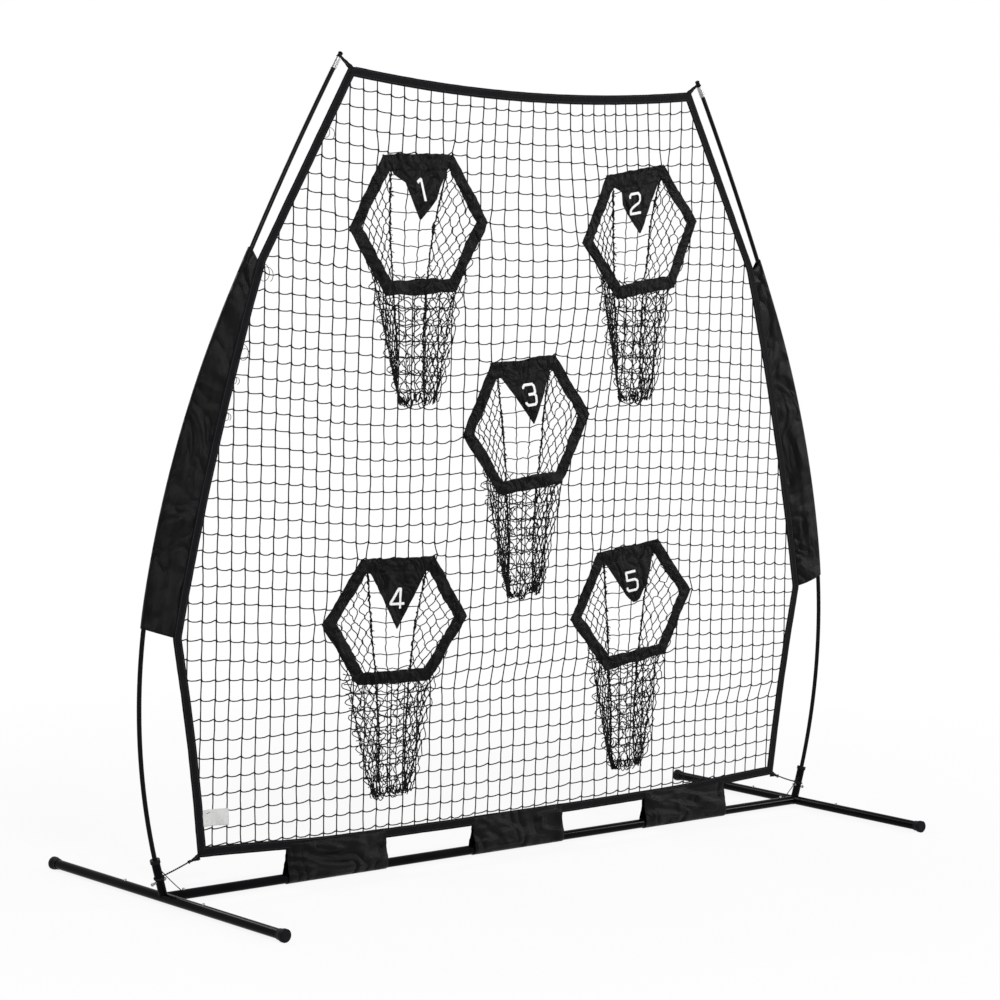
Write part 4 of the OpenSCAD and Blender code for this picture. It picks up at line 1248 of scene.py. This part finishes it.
# %% [markdown]
# ## The bags
# Behind each frame hangs a bag of the same netting. Its back is a flat strip of square mesh
# between two thick knotted seams. At the sides the mesh is squeezed to steep diamonds, and
# below the frame the front and back lie close together and tangle. The bottom is gathered in
# round loops and tied off in a tuft.

# %% The bag's shape, in mm about the pocket's middle: (height, value)
BAG_BACK = [(-482, 44), (-410, 56), (-175, 60), (-75, 56), (-7, 50), (60, 30), (140, 5)]
BAG_FRONT = [(-482, 20), (-410, 10), (-175, 5), (140, 4)]
BAG_WIDE = [(-488, 56), (-410, 88), (-300, 114), (-175, 146), (-135, 162), (-60, 196), (0, 222),
            (140, 228)]
BAG_MIDDLE = [(-482, 26), (-300, 14), (-138, 8), (0, 8), (140, 0)]
SEAM_WIDE = [(-482, 44), (-300, 46), (-138, 60), (0, 76), (140, 96)]
SEAM_MIDDLE = [(-482, 38), (-300, 40), (-138, 38), (0, 28), (140, 2)]
# Each bag's width and shift, how far its seams go to the right, and strands in a side's mesh.
BAGS = [(1.04, 2, 0.3, 10), (0.94, -6, 0.2, 10), (0.95, -4, 1.0, 11), (1.05, -12, 1.1, 8),
        (0.98, -6, 0.7, 9)]
FRONT, BEHIND = 0, 1
THROAT, SEWN_EDGE = -0.045, 0.010


# %% Places on the bag
def in_pocket(pocket, x, z):
    """Above its foot a point is turned with the frame, further down it hangs straight."""
    tx, tz = turned((x * MM, z * MM), pocket)
    px, pz = POCKETS[pocket][0] + x * MM, POCKETS[pocket][1] + z * MM
    t = ease(-180, 60, z)
    return px + (tx - px) * t, pz + (tz - pz) * t


def bag_span(pocket, z):
    """Half the bag's width, and its middle, at height z."""
    width, shift = BAGS[pocket][:2]
    below = 1 - ease(-175, 0, z)
    return table(BAG_WIDE, z) * (1 + (width - 1) * below), table(BAG_MIDDLE, z) + shift * below


def seam_share(pocket, z, side):
    """Where the seam on one side lies, from -1 at the bag's left edge to 1 at its right."""
    wide, middle = bag_span(pocket, z)
    lean = BAGS[pocket][2]
    seam_middle = table(SEAM_MIDDLE, z) * lean + (8 + 12 * ease(0, 480, -z)) * (1 - lean)
    return max(-0.94, min(0.94, (seam_middle + side * table(SEAM_WIDE, z) - middle) / wide))


def bag_point(pocket, f, z, layer, luck):
    """f goes from -1 at the left side to 1 at the right; layer is FRONT or BEHIND."""
    wide, middle = bag_span(pocket, z)
    back, front = table(BAG_BACK, z), table(BAG_FRONT, z)
    x = middle + f * wide
    if layer == BEHIND:
        left, right = seam_share(pocket, z, -1), seam_share(pocket, z, 1)
        off = max(0.0, (f - right) / (1 - right), (left - f) / (1 + left))
        y = back + (front - back) * off ** 1.2
    else:
        y = front + (back - front) * 0.5 * abs(f) ** 3
    px, pz = in_pocket(pocket, x + luck.uniform(-1.6, 1.6), z + luck.uniform(-1.5, 1.5))
    return Vector((px, max(0.0032, y * MM + luck.uniform(-0.0015, 0.0015)), pz))


def strip_point(pocket, share, z, luck):
    """A point of the flat strip behind, at a share of the way from its left seam to its right."""
    left, right = seam_share(pocket, z, -1), seam_share(pocket, z, 1)
    return bag_point(pocket, left + (right - left) * share, z, BEHIND, luck)


def hangs_here(pocket, point):
    """Above its throat the bag is sewn to the frame, below that it hangs free."""
    x, z = unturned(point.x, point.z, pocket)
    return z < THROAT or in_hexagon(x, z, SEWN_EDGE)


def cut_runs(pocket, line):
    """The parts of a strand that hang inside the frame or below it."""
    runs, run = [], []
    for point in line:
        if hangs_here(pocket, point):
            run.append(point)
        else:
            runs.append(run)
            run = []
    return [run for run in runs + [run] if len(run) > 2]


# %% The mesh behind: steep diamonds at the sides, and a strip of squares between the seams
SIDE_TOP, SIDE_FALL, SIDE_HALF = 150, 630, 22
STRIP_TOP, SEAM_TOP, ROW_GAP, ROW_COUNT = 118, 146, 42.5, 15


def diamond_swing(i, phase):
    """How a strand swings from side to side: 4 points from one knot to the next."""
    return fuller(math.sin(math.pi * (i / 4 + phase)), 0.75)


def side_strand(pocket, side, k, luck):
    """A strand of the side mesh, which keeps its share of the way from the seam to the edge."""
    line, count = [], BAGS[pocket][3]
    for i in range(int(SIDE_FALL / SIDE_HALF * 4)):
        z = SIDE_TOP - i * SIDE_HALF / 4
        seam = seam_share(pocket, z, side)
        share = (k + 0.5 + 0.46 * diamond_swing(i, k % 2)) / count
        drawn = noise.noise(Vector((share * 3 * side, z * 0.016, 7.0 + pocket)))
        low = 11 * noise.noise(Vector((share * 4 * side, z * 0.012, 2.0 + pocket)))
        share = share + 0.14 * drawn * share + luck.uniform(-0.012, 0.012)
        share = min(0.99, max(0.02, share))
        line.append(bag_point(pocket, seam + (side - seam) * share, z + low, BEHIND, luck))
    return line


def mesh_behind(pocket, luck):
    """The sides, then the two columns and the drooping rows of the strip."""
    lines = [side_strand(pocket, side, k, luck) for side in (-1, 1) for k in range(BAGS[pocket][3])]
    for k in (1, 2):
        lines.append([strip_point(pocket, k / 3, SEAM_TOP - i * 9.4, luck) for i in range(67)])
    for j in range(ROW_COUNT):
        level, row = STRIP_TOP - ROW_GAP * j + luck.uniform(-3, 3), []
        tilt, sag = luck.uniform(-6, 6), luck.uniform(3, 8)
        for i in range(13):
            s = i / 12
            z = level + tilt * (2 * s - 1) - sag * 4 * s * (1 - s)
            row.append(strip_point(pocket, s, z + 2.4 * abs(math.sin(3 * math.pi * s)), luck))
        lines.append(row)
    return [run for line in lines for run in cut_runs(pocket, line)]


# %% The mesh in front, below the frame
FRONT_STRANDS, FRONT_TOP, FRONT_FOOT, FRONT_HALF = 10, -128, -484, 23
FRONT_ROWS, FRONT_ROW_TOP, FRONT_ROW_GAP = 10, -165, 32


def mesh_in_front(pocket, luck):
    """Strands that swing from side to side, and rows that they cross."""
    lines = []
    for k in range(FRONT_STRANDS):
        top, bottom = FRONT_TOP - luck.uniform(0, 10), FRONT_FOOT + luck.uniform(0, 10)
        half = FRONT_HALF + luck.uniform(-2, 3)
        line = []
        for i in range(int((top - bottom) / half * 4) + 1):
            f = -0.9 + 1.8 * k / (FRONT_STRANDS - 1) + 0.085 * diamond_swing(i, k % 2)
            line.append(bag_point(pocket, f, top - i * half / 4, FRONT, luck))
        lines.append(line)
    for j in range(FRONT_ROWS):
        level, row = FRONT_ROW_TOP - FRONT_ROW_GAP * j + luck.uniform(-6, 6), []
        for i in range(29):
            s = (-1 + i / 14) * 0.94
            z = level + 8 * abs(math.sin(math.pi * (s + 1) * 3.5))
            row.append(bag_point(pocket, s, z, FRONT, luck))
        lines.append(row)
    return lines


# %% Loops, seams and the tuft
CURLS_LOW, CURLS = 13, 40
BAG_FOOT, TUFT_Z, THIN_SEAM = -480, -458, 0.86


def bag_curls(pocket, luck):
    """Round loops, first those along the bottom and then those in the tangle."""
    lines = []
    for k in range(CURLS):
        low = k < CURLS_LOW
        z = luck.uniform(-474, -450) if low else luck.uniform(-440, -200)
        size = luck.uniform(10, 16) if low else luck.uniform(9, 15)
        wide, middle = bag_span(pocket, z)
        x, start = middle + luck.uniform(-0.85, 0.85) * (wide - size - 10), luck.uniform(0, 6.3)
        depth = luck.uniform(table(BAG_FRONT, z) + 2, table(BAG_BACK, z) - 4)
        line = []
        for i in range(15):
            angle = math.pi * (0.95 + 1.1 * i / 14) if low else start + i / 14 * 3.0
            px, pz = in_pocket(pocket, x + size * math.cos(angle),
                               z + size * 1.15 * math.sin(angle))
            line.append(Vector((px, depth * MM + 0.004 * math.sin(angle * 1.3), pz)))
        lines.append(line)
    return lines


def thread_end(point, aim):
    """A short end of thread that sticks out of a seam and bends down."""
    return [(point.x + t * 0.009 * math.cos(aim), max(0.003, point.y - 0.002 * t),
             point.z + t * 0.006 * math.sin(aim) - 0.003 * t * t, 0.75 - 0.2 * t)
            for t in (0, 0.35, 0.7, 1.0)]


def bag_seams(pocket, luck):
    """The thick knotted seams behind, with thread ends, and a thinner pair along the sides."""
    lines = []
    for side in SIDES.values():
        for layer, top, ends, thick in ((BEHIND, SEAM_TOP, 32, 1.0), (FRONT, -190, 12, 0.62)):
            def seam_point(z):
                share = seam_share(pocket, z, side) if layer == BEHIND else side * THIN_SEAM
                return bag_point(pocket, share, z, layer, luck)

            line, z = [], top
            while z > BAG_FOOT:
                knot = 1.0 + (1.5 * luck.random() if luck.random() < 0.35 else 0.35 * luck.random())
                line.append((*seam_point(z), knot * thick))
                z -= luck.uniform(3.5, 6.5)
            lines.append(line)
            for _ in range(ends):
                point = seam_point(top - (top - BAG_FOOT - 10) * luck.random())
                lines.append(thread_end(point, luck.uniform(-2.2, 2.2)))
    return lines


def tuft(pocket, luck):
    """The loose ends where the gathered bottom is tied off."""
    wide, middle = bag_span(pocket, BAG_FOOT + 10)
    x, z = in_pocket(pocket, middle - 0.8 * wide, TUFT_Z)
    lines = []
    for k in range(9):
        swing, size = luck.uniform(-0.9, 0.9), luck.uniform(0.012, 0.024)
        lines.append([(x + size * t * math.sin(swing * 1.4 + t),
                       0.030 + 0.004 * math.sin(k + 3 * t),
                       z - size * t * math.cos(swing * 0.5) + 0.004 * math.sin(5 * t + k),
                       1.1 - 0.3 * t) for t in (0, 0.25, 0.5, 0.75, 1.0)])
    return lines


# %% The five bags
BAG_CORD_R, BAG_SEAM_R = 0.0014, 0.0019
for pocket in range(5):
    luck = random.Random(40 + pocket)
    thin_lines = mesh_behind(pocket, luck) + mesh_in_front(pocket, luck) + bag_curls(pocket, luck)
    thin = lay_strands("bag_netting_%d" % (pocket + 1), thin_lines, BAG_CORD_R)
    thick_lines = bag_seams(pocket, luck) + tuft(pocket, luck)
    thick = lay_strands("bag_seams_%d" % (pocket + 1), thick_lines, BAG_SEAM_R)
    for piece in (thin, thick):
        finish_piece(piece, "bag_mesh")
        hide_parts("pocket_bag_%d" % (pocket + 1))
    print(thin.name, len(thin.data.polygons) + len(thick.data.polygons), "faces")

# %% [markdown]
# ## Straps, ferrule bands, welds and the tag
# The net's top corners hang from the poles' end caps by short webbing straps. The bare ferrule
# at each tip has rolled bands. Where tubes are welded there is a small bead. The care tag is
# left blank.

# %% Straps at the four corners
TIP_TURN = math.radians(-30.27)
TIP_AXIS, TIP_OUT = tilted(TIP_TURN)
TIP = Vector((0.65496, 0, 2.13235))
NECK_UP, NECK_R = 0.0075, 0.0051
NECK = TIP + NECK_UP * TIP_AXIS
TOP_CORNER, LOW_CORNER = Vector((0.61943, 0, 2.11435)), Vector((1.055, 0, 0.106))
TIE_WAY = Vector((0.951224, 0, -0.308501))


def finish_strap(piece):
    """Straps and loops together stand for the CAD's corner straps."""
    finish_piece(piece, "webbing")
    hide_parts("corner_straps")


def strap(name, start, finish, half_start, half_finish, sign):
    """A flat tube of webbing that changes its width from one end to the other."""
    way = (finish - start).normalized()
    across = Vector((-way.z, 0, way.x))

    def place(u, v):
        angle = 2 * math.pi * v
        half = half_start + (half_finish - half_start) * ease(0, 1, u)
        lift = 0.0012 * fuller(math.sin(angle), 0.5)
        point = start.lerp(finish, u) + across * half * math.cos(angle)
        return Vector((sign * point.x, -lift + 0.0003 * math.sin(u * 23),
                       point.z + 0.0004 * math.sin(u * 19)))
    finish_strap(lay_cloth(name, place, ((finish - start).length, 0.02), 20, 20, weld=True))


def neck_loop(name, sign):
    """The strap's end goes round the neck of the end cap."""
    def place(u, v):
        turn, angle = 2 * math.pi * u, 2 * math.pi * v
        r = NECK_R + 0.0008 * math.cos(angle)
        h = NECK_UP + 0.0038 * fuller(math.sin(angle), 0.6)
        point = TIP + TIP_AXIS * h + r * (math.cos(turn) * TIP_OUT + math.sin(turn) * BACK)
        return Vector((sign * point.x, point.y, point.z))
    finish_strap(lay_cloth(name, place, (0.032, 0.02), 40, 16, weld=True))


top_end = TOP_CORNER - 0.020 * (NECK - TOP_CORNER).normalized()
low_start, low_end = LOW_CORNER - 0.006 * TIE_WAY, LOW_CORNER + 0.021 * TIE_WAY
for side, sign in SIDES.items():
    strap("tip_strap_" + side, NECK, top_end, 0.0036, 0.0080, sign)
    neck_loop("tip_strap_loop_" + side, sign)
    strap("bottom_strap_" + side, low_start, low_end, 0.0095, 0.0035, sign)
print("strap at the tip", round((NECK - top_end).length, 4), "m long")

# %% Rolled bands on the tip ferrules
FERRULE_R, ROLL_R = 0.00725, 0.00055
ROLLS, FIRST_ROLL, ROLL_GAP = 4, 0.004, 0.0078


def rolled_bands(side, sign):
    """Thin rings round the ferrule, one below the other."""
    rings = []
    for k in range(ROLLS):
        at = TIP - (FIRST_ROLL + ROLL_GAP * k) * TIP_AXIS
        bpy.ops.object.select_all(action="DESELECT")
        bpy.ops.mesh.primitive_torus_add(major_radius=FERRULE_R, minor_radius=ROLL_R,
                                         major_segments=48, minor_segments=8,
                                         location=(sign * at.x, 0, at.z),
                                         rotation=(0, sign * TIP_TURN, 0))
        bpy.ops.object.transform_apply(location=True, rotation=True, scale=True)
        bpy.ops.object.shade_smooth()
        rings.append(bpy.context.object)
    return finish_piece(join_pieces(rings, "ferrule_bands_" + side), "ferrule_alloy")


for side, sign in SIDES.items():
    print(rolled_bands(side, sign).name, ROLLS, "rings")

# %% Weld beads where the stub and the socket meet the foot
TUBE_R, SOCKET_R, STUB_R, BEAD_R = 0.0127, 0.0114, 0.0124, 0.0013


def weld_bead(name, axis, radius, out, sign):
    """A rippled ring on the foot's tube, round a tube that stands on it along `axis`."""
    across = axis.cross(BACK).normalized()
    line = []
    for i in range(97):
        angle = 2 * math.pi * i / 96
        base = FOOT + radius * (math.cos(angle) * across + math.sin(angle) * BACK)
        flat = Vector((base.x - FOOT.x, 0, base.z - FOOT.z))
        along = flat.dot(axis)
        beside = flat - along * axis
        rise = math.sqrt(max(0.0, TUBE_R * TUBE_R - beside.length_squared))
        point = base + axis * (rise - along + out)
        line.append((sign * point.x, point.y, point.z, 1.0 + 0.22 * math.sin(angle * 26)))
    finish_piece(lay_strands(name, [line], BEAD_R, 2), "tube_coat")


for side, sign in SIDES.items():
    weld_bead("weld_socket_" + side, SOCKET_AXIS, SOCKET_R, 0.0, sign)
    weld_bead("weld_stub_" + side, Vector((-1, 0, 0)), STUB_R, 0.001, sign)
print("weld beads", 2 * len(SIDES))

# %% The blank care tag
TAG_THICK = 0.0004
tag_low, tag_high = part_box("care_tag")


def tag_place(u, v):
    """The tag is sewn on along its left end, and its free end curls forwards."""
    x = tag_low[0] + (tag_high[0] - tag_low[0]) * u
    z = tag_low[2] + (tag_high[2] - tag_low[2]) * v
    curl = 0.004 * ease(0.3, 1.0, u) * math.sin(2.4 * v + 0.6) + 0.0012 * math.sin(9 * u + 3 * v)
    return Vector((x, tag_low[1] - curl, z - 0.002 * ease(0.4, 1.0, u)))


tag = lay_cloth("care_tag_cloth", tag_place, (0.084, 0.043), 30, 16, TAG_THICK)
finish_piece(tag, "tag_cloth")
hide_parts("care_tag")
print("tag", round(cloth_area(tag), 5), "square metres")

# %% [markdown]
# ## Finishes for the hard parts
# The tubes, caps, buttons, poles and bolts keep their CAD shape and get a finish each.

# %% Finishes for the hard parts
HARD = {"foot_centre": "tube_coat", "foot_tube": "tube_coat", "crossbar": "tube_coat",
        "foot_caps": "cap_rubber", "button": "spring_steel", "pole_lower": "pole_fibreglass",
        "pole_middle": "pole_fibreglass", "pole_upper": "pole_fibreglass",
        "pole_ferrules": "ferrule_alloy", "tip_caps": "moulded_black",
        "pole_bushings": "moulded_black", "socket_bolts": "bolt_steel"}
dressed = 0
for name, node in frame["nodes"].items():
    for start, slot_name in HARD.items():
        if name.startswith(start):
            for material_slot in node.material_slots:
                material_slot.material = FINISH[slot_name]
            dressed += 1
print("hard nodes with a finish", dressed)

# %% [markdown]
# ## Floor, backdrop and light
# A pale floor and three large soft lamps. The camera, mirrors and glass see white all round,
# while the object is lit by a softer grey sky, so that black cloth stays black.

# %% Floor
FLOOR_SIZE, FLOOR_WHITE = 60, 0.88
GREY_UP_TO, WHITE_FROM = 1.2, 3.2


def seen_directly(tree):
    """1 for what the camera, mirrors and glass see, and 0 for the light on other things."""
    rays = add_node(tree, "ShaderNodeLightPath").outputs
    return calc(tree, "MAXIMUM", rays["Is Camera Ray"],
                calc(tree, "MAXIMUM", rays["Is Glossy Ray"], rays["Is Transmission Ray"]))


bpy.ops.object.select_all(action="DESELECT")
bpy.ops.mesh.primitive_plane_add(size=FLOOR_SIZE)
floor = bpy.context.object
floor.name = "floor"
paper, tree, shader = start_finish("floor_paper", (0.9, 0.9, 0.9), 0.9, specular=0.0)
glow = add_node(tree, "ShaderNodeEmission", {"Color": (1, 1, 1, 1), "Strength": 1.0})
away = add_node(tree, "ShaderNodeVectorMath", {0: coordinates(tree)["Object"]}, operation="LENGTH")
white = remap(tree, away.outputs["Value"], (GREY_UP_TO, WHITE_FROM), (FLOOR_WHITE, 1.0))
glowing = calc(tree, "MULTIPLY", seen_directly(tree), white)
surface = add_node(tree, "ShaderNodeMixShader", {0: glowing, 1: shader.outputs[0],
                                                 2: glow.outputs[0]})
tree.links.new(surface.outputs[0], tree.nodes["Material Output"].inputs["Surface"])
floor.data.materials.append(paper)

# %% Sky and lamps
SKY_GREY = 0.35
world = bpy.data.worlds.new("studio")
bpy.context.scene.world = world
world.use_nodes = True
tree = world.node_tree
strength = calc(tree, "MULTIPLY_ADD", seen_directly(tree), 1 - SKY_GREY, SKY_GREY)
sky = tree.nodes["Background"]
sky.inputs["Color"].default_value = (1, 1, 1, 1)
tree.links.new(strength, sky.inputs["Strength"])


def lamp(name, place, aim, size, power):
    """A soft rectangle of light that is turned to a point."""
    bpy.ops.object.light_add(type="AREA", location=place)
    light = bpy.context.object
    light.name = name
    light.data.shape = "RECTANGLE"
    light.data.size, light.data.size_y = size
    light.data.energy = power
    light.rotation_euler = (Vector(aim) - Vector(place)).to_track_quat("-Z", "Y").to_euler()


lamp("key_lamp", (-2.6, -4.6, 4.2), (0, 0, 1.0), (1.0, 1.0), 190)
lamp("side_lamp", (4.2, -2.6, 2.4), (0, 0, 0.8), (0.7, 2.0), 90)
lamp("back_lamp", (-1.0, 3.8, 3.8), (0, 0, 1.2), (2.4, 1.2), 70)
bpy.context.scene.view_settings.view_transform = "Standard"
